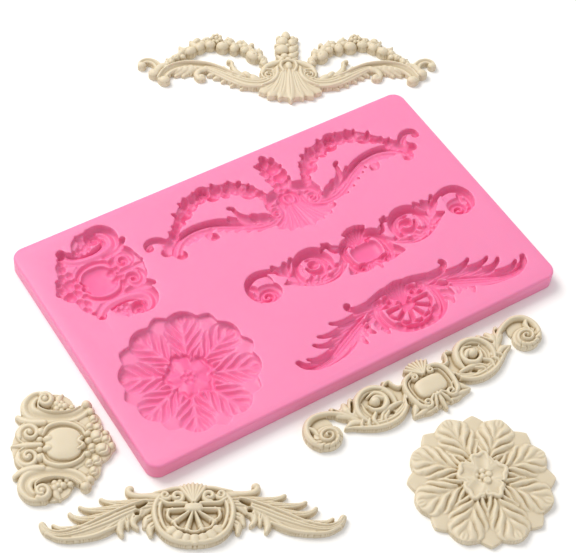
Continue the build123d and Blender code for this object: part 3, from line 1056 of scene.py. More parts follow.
    def _garland(self) -> None:
        """Draws one garland: its stem, its leaf points and its crowd of fruit."""
        line = [(8.4, -0.2), (10.2, 3.2), (13.0, 7), (15.8, 9.8), (19.5, 11.8), (24, 12.8), (29, 13.7),
                (34, 13.4), (38.5, 11.3), (42, 8.8), (45, 6.0), (47.8, 3.0), (50.4, 0.4), (52.2, -2.2)]
        self.stroke(line, [1.4, 1.7, 2.5, 2.6, 2.6, 2.8, 3.0, 2.9, 2.8, 2.5, 1.9, 1.6, 1.5, 1.3], [1.9],
                    rim=0.3)
        for tip, root, half in (
                ((18.0, 14.9), (17.6, 11.4), 2.1), ((15.1, 12.4), (15.8, 9.6), 1.9),
                ((24.4, 16.8), (24.2, 13), 2.2), ((37.3, 15.8), (35.6, 12.4), 2.3),
                ((40.2, 14.4), (38, 11), 2.0), ((44.8, 11.0), (43, 8.2), 1.8), ((9.0, 4.4), (9.9, 1), 1.6),
                ((11.6, 10.0), (13.0, 7.2), 1.7), ((50.4, 3.9), (48.6, 1.8), 1.5),
                ((32.8, 16.6), (32.0, 13), 2.0), ((11.6, 1.2), (10.4, 2.6), 1.3)):
            self.stroke([root, tip], [half, 0.3 * half], [3.6, 2.6])
        self.press(self.shop.clustered(line[1:], self.fruit, (1.1, 1.8), 1.7, 1.9, 11))
        self.press(self.shop.clustered(line[2:-3], self.fruit, (0.8, 1.25), 2.5, 1.7, 4))
        for x, y, rx, ry, turn, tall in (
                (14.6, 5.6, 3.2, 2.5, 55, 4.3), (11.4, 4.4, 2.0, 1.7, 60, 3.8),
                (17.6, 8.8, 2.3, 1.9, 20, 4.0), (21.9, 10.0, 2.1, 2.6, 20, 4.3),
                (26.9, 10.9, 2.8, 2.5, 0, 4.6), (32.0, 11.9, 2.5, 2.0, -15, 4.2),
                (40.4, 7.9, 2.7, 2.2, -35, 4.5), (36.6, 10.6, 2.2, 2.5, 15, 4.2),
                (37.6, 13.9, 2.2, 1.6, -50, 4.0), (23.8, 14.2, 2.4, 1.7, 15, 3.9),
                (44.0, 7.0, 2.0, 1.6, -45, 4.0), (48.4, 2.8, 1.8, 1.5, -45, 3.8),
                (19.4, 12.9, 1.8, 1.7, 0, 3.8), (33.6, 14.6, 2.0, 1.7, 0, 3.8),
                (46.2, 4.4, 1.7, 1.5, -45, 3.8)):
            self.boss(x, y, rx, ry, tall, 0.42, turn)
            dimple = (x + 0.35 * rx * math.cos(5 * x), y + 0.35 * ry * math.sin(5 * x))
            self.cut([dimple, (dimple[0] + 0.2, dimple[1])], [0.4, 0.4], 0.4)
        self.boss(29.4, 15.4, 3.0, 2.5, 2.9, 0.5)
        self.press(self.shop.ringed(pearl(0.85, 3.0), 7, 1.8, 0, 360 / 7, 0.1, 3), (29.4, 15.2))
        self.press(pearl(0.95, 3.3), (29.4, 15.2))

    def _buds(self) -> None:
        """Draws the cluster of buds and leaves above the shell."""
        self.stroke([(0, 0.5), (0.2, 6), (0, 12), (0, 16.6), (0, 19.4)], [2.8, 3.4, 4.0, 2.7, 1.0], [2.2])
        for tip, root, half in (
                ((4.9, 16.8), (2.6, 13.6), 1.6), ((4.8, 12.4), (2.6, 9.6), 1.5),
                ((4.6, 8.4), (2.4, 5.6), 1.5), ((-4.4, 6.0), (-2.4, 3.4), 1.5),
                ((4.0, 4.8), (2.0, 2.4), 1.4), ((-4.6, 12.6), (-2.4, 11.0), 1.4)):
            end = (0.15 * root[0] + 0.85 * tip[0], 0.15 * root[1] + 0.85 * tip[1])
            self.stroke([root, end], [half, 0.55 * half], [3.5, 2.7], rim=0.45)
        for x, y, rx, ry, tall, turn in (
                (0.1, 17.4, 1.9, 2.9, 4.0, 0), (-1.5, 13.6, 2.6, 2.9, 4.6, -10),
                (2.2, 13.0, 1.9, 2.5, 4.1, 10), (-2.0, 8.9, 3.1, 2.8, 4.7, 10),
                (2.0, 8.8, 2.0, 2.3, 4.1, 0), (-1.2, 4.9, 2.0, 1.9, 4.0, 0), (1.7, 5.0, 2.0, 2.0, 4.0, 0),
                (0.2, 2.6, 1.7, 1.7, 4.2, 0), (0.4, 11.0, 1.4, 1.4, 4.0, 0), (2.9, 16.0, 1.3, 1.6, 3.5, 0),
                (-2.9, 16.4, 1.2, 1.5, 3.3, 0), (-2.9, 2.6, 1.4, 1.3, 3.4, 0)):
            self.boss(x, y, rx, ry, tall, 0.4, turn)


@dataclass(kw_only=True)
class ScrollBar(Ornament):
    """A shield under a palmette, with two panels, two C-scrolls, leaves and two end volutes."""

    name: str = "scroll_bar"
    half_x: float = 51.0
    half_y: float = 11.3
    crest_flutes: int = 7
    snail_grooves: int = 7

    def draw(self) -> None:
        """Draws the right half and mirrors it."""
        self._scroll()
        self._leaves()
        self._volute()
        self._shield()
        self.mirror()

    def _shield(self) -> None:
        """Draws the plain plaque, its frame, the palmette above and the leaf below."""
        self.boss(0, -1.6, 10.0, 9.2, 2.1, 0.85, square=3)
        self.boss(0, -1.2, 6.2, 4.4, 4.4, 0.62, power=3.4, square=3.2)
        self.stroke([(3.6, 6.8), (6.6, 5.9), (8.6, 3.6), (9.3, 0.0), (9.0, -4.2), (8.0, -7.4), (5.4, -9.2)],
                    [1.1, 1.25, 1.25, 1.25, 1.25, 1.3, 1.2], [4.1, 4.2, 4.2, 4.1, 4.1, 3.9, 3.6], rim=0.35)
        self.stroke([(4.6, 4.9), (6.6, 3.8), (7.5, 0.8), (7.4, -3.4), (6.6, -6.2)],
                    [0.4, 0.5, 0.5, 0.5, 0.5], [3.4, 3.4, 3.4], rim=0.35)
        self.scroll(3.6, 4.7, 1.4, 0.4, 70, 400, [0.85, 0.75, 0.6], [4.0, 4.2, 4.4])
        self.scroll(5.3, -7.4, 1.9, 0.5, -60, -400, [0.95, 0.85, 0.6], [3.8, 4.0, 4.3])
        self.boss(0, 7.0, 4.4, 4.6, 3.0, 0.7)
        flute = blade(7.7, 0.95, 4.6, R, 0.86, base=0.42, sag=0.25, rim=0.35)
        self.press(self.shop.ringed(flute, self.crest_flutes, 0.4, 52, 76 / (self.crest_flutes - 1), 0.03,
                                    2), (0, 3.6))
        for line, half in (
                ([(0, -5.4), (0, -9), (0, -12.4)], 1.3), ([(0.9, -5.8), (2.2, -8.4), (3.4, -11.0)], 1.1),
                ([(1.6, -5.6), (3.4, -7.0), (4.4, -9.8)], 0.9)):
            self.stroke(line, [0.8, half, 0.5 * half], [4.3, 3.8, 2.6], rim=0.35)
        self.boss(0, -6.2, 1.3, 1.0, 4.6, 0.5)
        self.stroke([(8.4, -4.4), (9.8, -6.6), (12.4, -9.4)], [1.3, 1.6, 0.5], [3.4, 3.1, 2.4])
        self.stroke([(6.0, -9.2), (9.0, -9.4), (12.2, -9.6)], [1.3, 1.2, 0.5], [3.2, 2.9, 2.3])
        self.stroke([(3.6, -10.2), (6.0, -10.6), (8.2, -10.4)], [0.9, 0.9, 0.5], [2.8, 2.6, 2.2])

    def _scroll(self) -> None:
        """Draws the sunk panel and the large C-scroll with its inner comma."""
        self.stroke([(9.6, 1.0), (13.0, 2.4), (16.0, 3.4)], [2.6, 4.8, 5.0], [1.6], F, rim=0.9)
        self.boss(22.6, 1.2, 7.4, 8.0, 1.8, 0.9)
        self.stroke([(8.8, 4.4), (11.0, 4.5), (12.2, 6.6), (12.6, 8.6), (14.4, 8.5), (15.6, 7.8)],
                    [0.8, 0.9, 0.85, 0.8, 0.85, 0.7], [3.6, 3.6, 3.4], rim=0.35)
        self.stroke([(13.2, 8.6), (14.6, 9.6)], [0.8, 0.6], [3.2, 2.8])
        self.stroke([(15.4, -1.4), (15.2, 2.6), (16.6, 6.4), (19.8, 8.9), (23.8, 9.1), (27.4, 7.2),
                     (29.4, 3.8), (29.6, 0.0), (28.2, -3.4)],
                    [0.9, 1.5, 1.7, 1.8, 1.75, 1.6, 1.5, 1.3, 0.8],
                    [3.4, 4.0, 4.3, 4.4, 4.4, 4.3, 4.1, 3.8, 3.2], rim=0.35)
        self.cut([(17.4, 6.2), (20.2, 8.0), (23.8, 8.2), (26.8, 6.4), (28.4, 3.4)],
                 [0.2, 0.35, 0.4, 0.35, 0.2], 0.7)
        self.stroke([(26.9, 5.0), (27.4, 1.4), (26.2, -2.0)], [1.0, 1.4, 0.8], [2.9, 2.9, 2.6], H)
        self.stroke([(23.4, 6.4), (20.0, 6.8), (17.8, 4.2), (18.2, 0.9), (21.0, -0.9), (24.0, 0.2),
                     (25.2, 2.8)], [0.6, 1.1, 1.3, 1.4, 1.4, 1.2, 0.6], [3.3, 3.7, 4.0, 4.1, 3.9, 3.5],
                    rim=0.35)
        self.stroke([(18.6, 3.2), (20.8, 4.6), (22.6, 3.8)], [1.2, 1.5, 1.4], [3.8, 4.3, 4.6], rim=0.35)
        self.boss(22.0, 3.2, 2.1, 2.0, 4.8, 0.45)

    def _leaves(self) -> None:
        """Draws the leaves under and beside the C-scroll."""
        self.stroke([(10.0, 0.6), (12.4, -3.0), (16.6, -5.4), (21.4, -5.8), (26.6, -4.7), (31, -2.4),
                     (35, -1.0)], [0.9, 2.0, 2.4, 2.5, 2.4, 2.0, 0.6], [3.1, 2.8, 2.7, 2.7, 2.6, 2.4, 2.0],
                    D, ribs=4)
        self.stroke([(10.2, -0.2), (12.6, -4.2), (16.5, -6.9), (21, -7.7), (26, -6.8), (30.5, -4.5),
                     (34, -2.2), (36.9, -1.0)], [0.8, 1.0, 1.1, 1.1, 1.1, 1.0, 0.9, 0.4],
                    [3.2, 3.3, 3.3, 3.2, 2.9, 2.3], rim=0.35)
        for line, half in (
                ([(13.6, -1.6), (17.4, -1.4), (21.6, -2.4), (24.0, -4.8)], 1.3),
                ([(24.4, -1.2), (26.4, -3.2), (26.0, -6.4)], 1.2),
                ([(27.6, -2.2), (29.0, -4.0), (28.4, -5.9)], 1.0),
                ([(19.6, -3.0), (22.0, -4.4), (22.4, -6.4)], 1.0),
                ([(30.0, -1.2), (31.4, -2.8), (31.2, -4.2)], 0.9)):
            self.stroke(line, [0.75 * half, half, 0.5 * half], [3.4, 3.4, 2.9], rim=0.35)
        self.stroke([(29.2, -1.0), (31.8, 2.4), (33.6, 6.0)], [2.2, 3.0, 2.2], [2.9, 2.9, 2.7], D, ribs=4)
        self.stroke([(30.4, 1.4), (30.4, 5.4), (28.9, 9.5)], [1.7, 2.1, 0.8], [3.1, 3.2, 2.4])
        self.stroke([(31.8, 2.6), (32.9, 5.8), (32.2, 8.6)], [1.6, 1.8, 1.0], [3.1, 3.4, 2.6])
        self.stroke([(33.0, 2.8), (35.8, 5.8), (37.2, 9.4)], [1.7, 2.1, 0.8], [3.0, 3.1, 2.4])
        self.stroke([(30.6, -1.6), (33.6, -0.2), (37.2, -0.8)], [1.6, 1.5, 0.45], [3.1, 3.0, 2.4])
        self.cut([(29.2, 7.8), (30.1, 6.0), (31.6, 3.8)], [0.6, 0.85, 0.6], 2.2)
        self.cut([(36.6, 7.8), (35.2, 5.0)], [0.9, 0.7], 2.0)
        self.cut([(18.4, -3.7), (18.7, -3.8)], [1.1, 1.1], 3.0)
        self.cut([(10.8, -1.8), (11.4, -3.6)], [0.5, 0.7], 1.6)

    def _volute(self) -> None:
        """Draws the end volute: a domed snail under a hooded stem."""
        x, y = 44.6, -0.9
        self.boss(45.2, 4.2, 5.2, 5.0, 1.5, 0.9)
        self.stroke([(31.0, -0.6), (33.2, 3.0), (36.2, 6.0), (40.2, 8.3), (44.8, 9.2), (48.6, 7.6),
                     (50.6, 4.0), (50.6, 0.0), (49.0, -3.2)],
                    [1.0, 1.15, 1.2, 1.25, 1.35, 1.4, 1.4, 1.4, 1.2],
                    [2.8, 3.0, 3.3, 3.5, 3.7, 3.8, 3.8, 3.8, 3.6], rim=0.35)
        self.stroke([(49.6, 6.4), (47.8, 4.2), (47.6, 1.4)], [0.9, 1.2, 0.8], [3.4, 3.3, 3.4])
        self.boss(x, y, 5.6, 5.0, 3.3, 0.66)
        self.scroll(x, y, 4.4, 0.5, -30, -700, [0.95, 0.9, 0.85, 0.7, 0.55], [3.5, 3.8, 4.2, 4.7], ry=0.9)
        for k in range(self.snail_grooves):
            turn = math.radians(200 + 27 * k)
            outer = turn + 0.25
            self.cut([(x + 3.4 * math.cos(turn), y + 3.1 * math.sin(turn)),
                      (x + 5.4 * math.cos(outer), y + 4.9 * math.sin(outer))], [0.16, 0.26], 0.5)


@dataclass(kw_only=True)
class FanSwag(Ornament):
    """A round medallion with a fan and a plume, between two sprays of acanthus."""

    name: str = "fan_swag"
    half_x: float = 51.5
    half_y: float = 11.9
    blades: int = 6
    plumes: int = 7

    def draw(self) -> None:
        """Draws the right half and mirrors it."""
        self._spray()
        self._medallion()
        self.mirror()

    def _medallion(self) -> None:
        """Draws the rimmed medallion, its fan, its plume and its small scrolls."""
        self.boss(0, -1.2, 13.0, 10.4, 1.6, 0.95)
        self.boss(6.6, 8.0, 7.0, 3.2, 1.9, 0.9)
        self.stroke([(11.4, 7.4), (13.1, 3.4), (13.0, -1.6), (11.2, -6.6), (7.8, -9.8), (3.8, -11.2),
                     (0, -11.5)], [1.2, 1.2, 1.15, 1.15, 1.3, 1.3, 1.3],
                    [3.6, 3.9, 4.0, 4.0, 3.9, 3.7, 3.6], rim=0.35)
        self.stroke([(10.2, 6.8), (11.5, 2.6), (11.2, -1.6), (9.6, -5.8), (6.8, -8.4), (3.4, -9.6),
                     (0, -9.9)], [0.8, 0.9, 0.9, 0.9, 0.9, 0.9, 0.9], [3.3, 3.5, 3.5, 3.5, 3.4, 3.4],
                    rim=0.35)
        rib = blade(8.6, 1.05, 4.2, R, 0.92, base=0.6, sag=0.16, rim=0.35)
        step, hub, reach = -180 / (self.blades - 1), 1.6, 6.4
        self.press(self.shop.ringed(rib, self.blades, 0.8, 0, step), (0, hub))
        for k in range(self.blades - 1):
            turn = step * (k + 0.5)
            c, s = math.cos(math.radians(turn)), math.sin(math.radians(turn))
            self.scroll(reach * c, hub + reach * s, 2.75, 2.75, turn - 84, 168, [0.62, 0.7, 0.62],
                        [3.6, 3.7, 3.6])
        self.stroke([(8.8, -6.2), (6.6, -8.6), (3.4, -9.9), (0, -10.3)], [1.9, 1.9, 1.9], [3.1], rim=0.7)
        leaf = blade(3.7, 1.9, 3.9, R, 0.5, base=0.7, sag=0.12, rim=0.66)
        self.press(self.shop.ringed(leaf, 7, 8.2, -141, 17, 0.08, 5), (0, -0.6))
        self.boss(0, 7.6, 4.4, 4.4, 2.8, 0.7)
        flute = blade(8.9, 1.1, 4.8, R, 0.86, base=0.45, sag=0.3, rim=0.35)
        self.press(self.shop.ringed(flute, self.plumes, 0.8, 62, 56 / (self.plumes - 1), 0.02, 6), (0, 3.0))
        self.boss(0, 2.0, 3.2, 1.9, 4.85, 0.66, power=3, square=3)
        self.scroll(5.4, 6.9, 2.2, 0.8, -80, -400, [1.15, 1.05, 0.85], [3.9, 4.1, 4.4])
        self.scroll(9.4, 7.6, 1.7, 0.6, 200, 380, [1.0, 0.9, 0.7], [3.6, 3.8, 4.0])
        self.stroke([(2.4, 4.0), (5.4, 4.2), (8.8, 4.4), (11.2, 6.0)], [1.0, 1.0, 1.0, 0.9],
                    [4.0, 3.8, 3.7], rim=0.35)
        self.stroke([(3.4, 10.6), (6.4, 10.6), (9.6, 9.8), (13, 9.0)], [1.1, 1.1, 1.0, 0.9],
                    [3.4, 3.4, 3.2], rim=0.35)

    def _spray(self) -> None:
        """Draws one acanthus spray, its horn, its fronds and its reeded stem."""
        self.stroke([(10.5, 7.2), (14.4, 7.8), (18.2, 8.0), (20.9, 8.8), (21.9, 10.2), (21.5, 11.4)],
                    [2.4, 1.9, 1.5, 1.35, 1.3, 1.3], [3.4, 3.3, 3.2, 3.1, 3.0], rim=0.35)
        self.boss(21.5, 11.2, 1.5, 1.3, 3.1, 0.5)
        fronds = [([(16, 5.4), (21, 5.0), (26, 5.2), (29.6, 6.2), (31.2, 7.2)], [1.9, 2.2, 1.8, 1.3, 0.8]),
                  ([(21, 3.6), (27, 2.9), (32.4, 2.6), (36.4, 3.2), (38.2, 4.2)],
                   [2.0, 2.3, 1.8, 1.3, 0.75]),
                  ([(26, 0.9), (32, -0.5), (37, -0.9), (40.2, 0.2), (41.6, 1.6)],
                   [2.0, 2.3, 1.8, 1.3, 0.8]),
                  ([(34, -3.8), (40, -4.9), (44.6, -4.4), (47.0, -2.9)], [1.6, 1.9, 1.4, 0.7])]
        for line, widths in fronds:
            self.stroke(line, widths, [3.2, 3.2, 3.0, 2.5], D, ribs=4)
        lower = [([(21, 1.6), (24.2, -1.8), (24.9, -4.8), (24.2, -7.4)], [2.2, 2.0, 1.6, 0.8]),
                 ([(18, 2.0), (20.2, -0.8), (20.4, -3.0), (19.0, -4.9)], [1.9, 1.7, 1.3, 0.7]),
                 ([(25, 0.0), (28, -2.6), (27.8, -5.0)], [1.9, 1.7, 0.8]),
                 ([(23, 0.4), (22.4, -2.4), (22.2, -4.6)], [1.4, 1.3, 0.6]),
                 ([(12.6, -0.2), (15.6, -1.6), (16.6, -4.2)], [1.9, 1.7, 0.9]),
                 ([(12.0, -2.8), (14.6, -4.8), (14.6, -7.6)], [1.7, 1.6, 0.8]),
                 ([(13.2, 3.6), (16.0, 2.2), (17.6, 0.2)], [1.7, 1.6, 0.8])]
        for line, widths in lower:
            self.stroke(line, widths, [3.1, 3.0, 2.7, 2.3])
            self.cut([line[0], line[1]], [0.3, 0.2], 0.5)
        self.stroke([(26, -2.6), (31, -6.0), (36, -7.6), (40.4, -8.0)], [1.9, 1.8, 1.5, 0.8], [2.7], D,
                    ribs=4)
        stem = [(12.5, 4.6), (17.5, 3.9), (22.5, 2.0), (30, -1.8), (38, -5.4), (44.6, -6.8), (49.0, -5.2),
                (50.7, -2.4)]
        self.stroke(stem, [2.6, 2.9, 3.2, 3.3, 2.6, 2.0, 1.7, 1.2],
                    [3.3, 3.4, 3.5, 3.4, 3.3, 3.1, 3.0, 2.8], D, ribs=5)
        self.stroke([(13, 5.6), (18, 5.2), (24, 2.8), (31, -0.6), (38, -4.2), (44.6, -5.8), (48.8, -4.6),
                     (50.6, -2.4)], [0.6, 0.75, 0.8, 0.8, 0.75, 0.7, 0.65, 0.6],
                    [3.6, 4.0, 4.0, 3.8, 3.6, 3.4, 3.1], rim=0.35)
        self.stroke([(26, -4.0), (33, -7.4), (39, -8.6), (45, -8.4), (49.4, -6.2)],
                    [0.6, 0.8, 0.8, 0.75, 0.6], [2.9, 3.1, 3.1, 2.9, 2.7], rim=0.35)
        self.cut([(16.2, 4.8), (18.6, 3.4)], [0.9, 1.2], 2.8)
        self.cut([(19.0, 1.0), (19.1, 1.0)], [1.1, 1.1], 2.8)


@dataclass(kw_only=True)
class Rosette(Ornament):
    """Eight ribbed petals over eight plain ones, with a ruffled middle."""

    name: str = "rosette"
    half_x: float = 26.0
    half_y: float = 26.0
    petals: int = 8
    stamens: int = 5

    def draw(self) -> None:
        """Lays the rings of petals, from the back to the front."""
        step = 360 / self.petals
        self.boss(0, 0, 9.0, 9.0, 2.4, 0.9)
        plain = blade(19.6, 6.9, 2.3, R, 0.52, base=0.8, sag=0.2, rim=0.72, point=1.25)
        self.press(self.shop.ringed(plain, self.petals, 6.6, 0, step))
        veined = blade(21.2, 6.9, 4.0, L, 0.66, ribs=1.45, base=0.3, sag=0.32, rim=0.5, point=1.9)
        self.press(self.shop.ringed(veined, self.petals, 4.6, step / 2, step, 0.015, 8))
        folded = blade(9.0, 2.7, 3.9, H, 0.5, base=0.6, sag=0.34, rim=0.45, point=1.6)
        self.press(self.shop.ringed(folded, self.petals, 6.6, 0, step, 0.06, 9))
        self._middle()

    def _middle(self) -> None:
        """Draws the ruffled inner petals and the stamens."""
        out, steps = 5.2, 16
        self.boss(0, 0, 8.4, 8.4, 4.3, 0.9)
        for k, (turn, size) in enumerate(((18, 1.0), (88, 1.06), (164, 0.98), (236, 1.05), (306, 0.96))):
            c, s = math.cos(math.radians(turn)), math.sin(math.radians(turn))
            self.boss(out * c, out * s, 3.8 * size, 4.5 * size, 4.65, 0.93, turn)
            self.cut([(4.0 * c, 4.0 * s), (6.4 * c, 6.4 * s)], [2.2, 2.5], 0.6)
            edge = []
            for j in range(steps + 1):
                bend = math.radians(-104 + 208 * j / steps)
                reach = size * (3.2 + 0.5 * math.cos(4.6 * bend + 1.7 * k))
                edge.append((out * c + reach * math.cos(bend + math.radians(turn)),
                             out * s + 1.15 * reach * math.sin(bend + math.radians(turn))))
            self.stroke(edge, [0.5, 0.75, 0.9, 0.75, 0.5], [4.6, 4.85, 4.85, 4.7], rim=0.85)
            c, s = math.cos(math.radians(turn + 35)), math.sin(math.radians(turn + 35))
            self.cut([(6.8 * c, 6.8 * s), (9.2 * c, 9.2 * s)], [0.35, 0.8], 1.0)
        self.cut([(0, 0), (0.1, 0)], [3.3, 3.3], 1.5)
        self.press(self.shop.ringed(pearl(1.35, 3.3), self.stamens, 2.2, 18, 360 / self.stamens, 0.14, 7))
        self.press(pearl(1.25, 3.5))


@dataclass(kw_only=True)
class Cartouche(Ornament):
    """An oval medallion between two large scrolls, with a curled crest and a spray of roses."""

    name: str = "cartouche"
    half_x: float = 18.0
    half_y: float = 22.25

    def draw(self) -> None:
        """Draws the upper half and mirrors it, then adds the roses."""
        self._ground()
        self._scroll()
        self._crest()
        self.mirror(0)
        self._roses()

    def _ground(self) -> None:
        """Draws the plain medallion and the two bows that frame it."""
        self.boss(0, 0, 10.8, 10.4, 2.7, 0.9)
        self.boss(-11.2, 0, 6.4, 8.4, 2.2, 0.9)
        self.stroke([(7.6, 9.0), (10, 6), (11, 2), (11, 0)], [2.4, 2.6, 2.8, 2.8], [2.2], F, rim=0.8)
        self.stroke([(-7.0, 3.8), (-5.2, 6.9), (-1.2, 8.3), (3.0, 7.8), (6.4, 5.8), (7.8, 3.4)],
                    [0.8, 1.1, 1.15, 1.1, 1.0, 0.7], [3.8, 4.1, 4.1, 4.0, 3.8], rim=0.35)
        self.boss(0.4, 0, 6.5, 6.3, 4.6, 0.7, power=3.2, square=2.4)

    def _scroll(self) -> None:
        """Draws one large scroll, its volute and the flowers in it."""
        self.boss(-3.6, 15.6, 7.0, 5.2, 1.8, 0.9)
        self.stroke([(-6.0, 20.0), (-10.2, 19.2), (-12.4, 16.0), (-11.2, 12.6), (-6.8, 11.0), (-1.6, 10.6),
                     (3.2, 11.2), (6.8, 13.2), (8.2, 15.6)], [1.6, 2.2, 2.8, 3.2, 3.2, 2.8, 2.6, 2.4, 1.9],
                    [3.6, 3.9, 4.0, 3.9, 3.7, 3.5, 3.4, 3.4, 3.2], H, rim=0.45)
        self.stroke([(-8.9, 17.0), (-8.6, 14.6), (-5.4, 12.9), (-0.8, 12.6), (3.2, 13.4), (5.8, 15.0)],
                    [0.5, 0.6, 0.65, 0.6, 0.55, 0.45], [4.0, 4.2, 4.2, 3.9, 3.4], rim=0.35)
        self.scroll(-6.6, 17.8, 2.5, 1.4, 120, -400, [1.2, 1.2, 1.0, 0.8], [3.9, 4.1, 4.5])
        self.boss(-6.6, 17.8, 1.3, 1.3, 4.6, 0.6)
        self.press(self.shop.ringed(pearl(1.15, 2.1), 5, 1.6, 0, 72, 0.15, 12), (-1.2, 15.4))
        self.press(pearl(1.0, 2.6), (-1.2, 15.4))
        self.press(self.shop.ringed(pearl(1.05, 2.0), 3, 1.1, 20, 120, 0.1, 13), (1.9, 14.6))
        self.stroke([(-2.2, 16.4), (-1.8, 18.6), (-0.6, 20.2)], [1.7, 1.5, 0.6], [3.0, 2.8, 2.4])
        self.stroke([(-3.8, 16.0), (-4.0, 18.8)], [1.2, 0.9], [2.8, 2.6], rim=0.55)
        self.boss(8.0, 16.0, 1.7, 1.6, 3.9, 0.5)
        self.boss(9.6, 13.2, 1.5, 1.4, 3.4, 0.5)

    def _crest(self) -> None:
        """Draws the two shell curls of the crest, its middle leaf and its side leaf."""
        self.boss(-12.0, 4.8, 4.7, 4.3, 3.0, 0.6)
        self.scroll(-11.6, 4.6, 3.7, 0.8, 200, -470, [1.1, 1.1, 1.0, 0.8], [3.3, 3.7, 4.3])
        self.boss(-11.4, 4.7, 1.1, 1.1, 4.6, 0.6)
        self.scroll(-11.6, 4.6, 4.4, 4.2, 110, 140, [0.45] * 3, [3.0, 3.2, 3.0])
        self.stroke([(-7.6, 0.0), (-12.6, 0.0), (-17.6, 0.0)], [1.2, 1.5, 0.6], [3.8, 3.6, 2.6])
        self.stroke([(-6.6, 8.8), (-10.6, 9.0), (-13.8, 10.0), (-16.0, 11.4)], [1.4, 1.8, 1.7, 1.1],
                    [3.8, 3.7, 3.4, 2.8])
        self.boss(-4.9, 1.8, 2.2, 1.6, 4.85, 0.5)
        self.boss(-7.7, 5.0, 1.6, 1.7, 4.3, 0.5)
        self.boss(-7.9, 2.0, 1.4, 1.3, 4.0, 0.5)

    def _roses(self) -> None:
        """Draws the spray of roses opposite the crest, and the bow beside the medallion."""
        self.boss(12.0, 0, 5.6, 6.6, 2.3, 0.85)
        self.boss(10.4, 8.6, 3.0, 4.2, 2.0, 0.8)
        self.boss(10.4, -8.6, 3.0, 4.2, 2.0, 0.8)
        for x, y, r, tall in (
                (11.8, 3.0, 2.8, 4.3), (15.0, 1.8, 2.1, 3.8), (13.8, -2.0, 2.8, 4.5),
                (10.2, -1.4, 2.0, 4.0), (17.0, -0.4, 1.6, 3.2), (8.9, 1.2, 1.7, 4.1), (12.2, 6.6, 2.1, 3.6),
                (11.8, -6.0, 2.2, 3.6), (9.4, 7.0, 1.9, 3.7), (9.4, -7.2, 1.9, 3.7), (10.6, 10.2, 1.9, 3.4),
                (10.8, -10.0, 1.9, 3.4), (8.6, -3.8, 1.5, 3.9), (8.7, 4.2, 1.5, 3.9),
                (14.8, 4.6, 1.5, 3.0)):
            self.boss(x, y, r, 0.88 * r, tall, 0.42, 25 * x)
            if r > 1.8:
                self.cut([(x - 0.4 * r, y - 0.55 * r), (x + 0.4 * r, y - 0.3 * r),
                          (x + 0.5 * r, y + 0.45 * r)], [0.3, 0.5, 0.3], 0.45)
        self.stroke([(18.0, -0.6), (15.6, 0.2)], [0.6, 1.2], [2.4, 2.8], rim=0.55)
        self.stroke([(5.6, -2.4), (7.2, -0.8), (5.6, 0.6), (6.8, 2.4)], [0.6, 0.9, 0.9, 0.6],
                    [4.85, 4.85, 4.8], rim=0.55)


# ---- the pieces ------------------------------------------------------------------------------------------
LEAST_WALL = 0.4      # the lowest that a casting's edge or a cavity's wall gets, in millimetres
OUTSIDE = -0.5        # what an outline's field is where there is nothing near
FAR_OUTSIDE = -0.499  # what it has to be under for a cell to count as plain


@dataclass
class Casting:
    """A loose casting: an ornament's relief as a closed shell with a flat back.

    Its turn is in degrees, as it lies. Its edge is a share of the height beside it. Its budget is the
    most triangles, and an edge that turns by more than the crease, in degrees, is drawn sharp.
    """

    node: str
    body: str
    relief: Relief
    turn: float
    edge: float = 0.86
    budget: int = 180000
    crease: float = 46.0

    def build(self, material: bpy.types.Material) -> bpy.types.Object:
        """Builds the casting and lays it where its CAD node lies.

        Args:
            material: its finish.

        Returns:
            The piece.
        """
        line = Outline(self.relief.inside())
        heights = self.relief.spread()
        number = np.full(line.inside.shape, -1)
        count = int(line.inside.sum())
        number[line.inside] = np.arange(count)
        rows, cols = np.nonzero(line.inside)
        top = np.column_stack([self.relief.xs[cols], self.relief.ys[rows],
                               np.maximum(heights[rows, cols], LEAST_WALL)])
        rim_x = np.interp(line.spots[:, 0], np.arange(len(self.relief.xs)), self.relief.xs)
        rim_y = np.interp(line.spots[:, 1], np.arange(len(self.relief.ys)), self.relief.ys)
        rim_z = np.maximum(read(heights, self.relief, rim_x, rim_y) * self.edge, LEAST_WALL)
        rim, foot = count, count + len(line.spots)
        spots = np.vstack([top, np.column_stack([rim_x, rim_y, rim_z]),
                           np.column_stack([rim_x, rim_y, np.zeros(len(rim_x))])])
        faces = grid_quads(line.full(line.inside), number)
        pairs = []
        for inner, _, (a, b) in line.mixed():
            faces.append([number[w[1], w[2]] if w[0] == "g" else rim + w[1] for w in inner])
            faces.append([rim + b, rim + a, foot + a, foot + b])
            pairs.append((foot + a, foot + b))
        faces += filled_flat(loops(pairs), spots, upwards=False)
        piece = new_object(self.node + "_look", spots, faces, material)
        thinned(piece, self.budget)
        creased(piece, self.crease)
        self._dress(piece)
        return piece

    def _dress(self, piece: bpy.types.Object) -> None:
        """Stores the painted crevice shade, turns the casting as it lies and moves it into its place.

        Args:
            piece: the casting, still in its relief's frame.
        """
        places = corners_of(piece) / MM
        # Painted shade: places that lie below their surroundings take the resin's browner hollow colour, but
        # not the flat back.
        tone = read(self.relief.crevice(), self.relief, places[:, 0], places[:, 1])
        mark(piece, "crevice", tone * (places[:, 2] > LEAST_WALL / 2))
        piece.data.transform(Matrix.Rotation(math.radians(self.turn), 4, "Z"))
        low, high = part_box(self.node)
        turned = corners_of(piece)
        middle = (Vector(turned.min(0)) + Vector(turned.max(0))) / 2
        shift = (low + high) / 2 - middle
        piece.data.transform(Matrix.Translation((shift.x, shift.y, low.z)))
        piece.data.update()
        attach(piece, self.body)
        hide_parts(self.node)


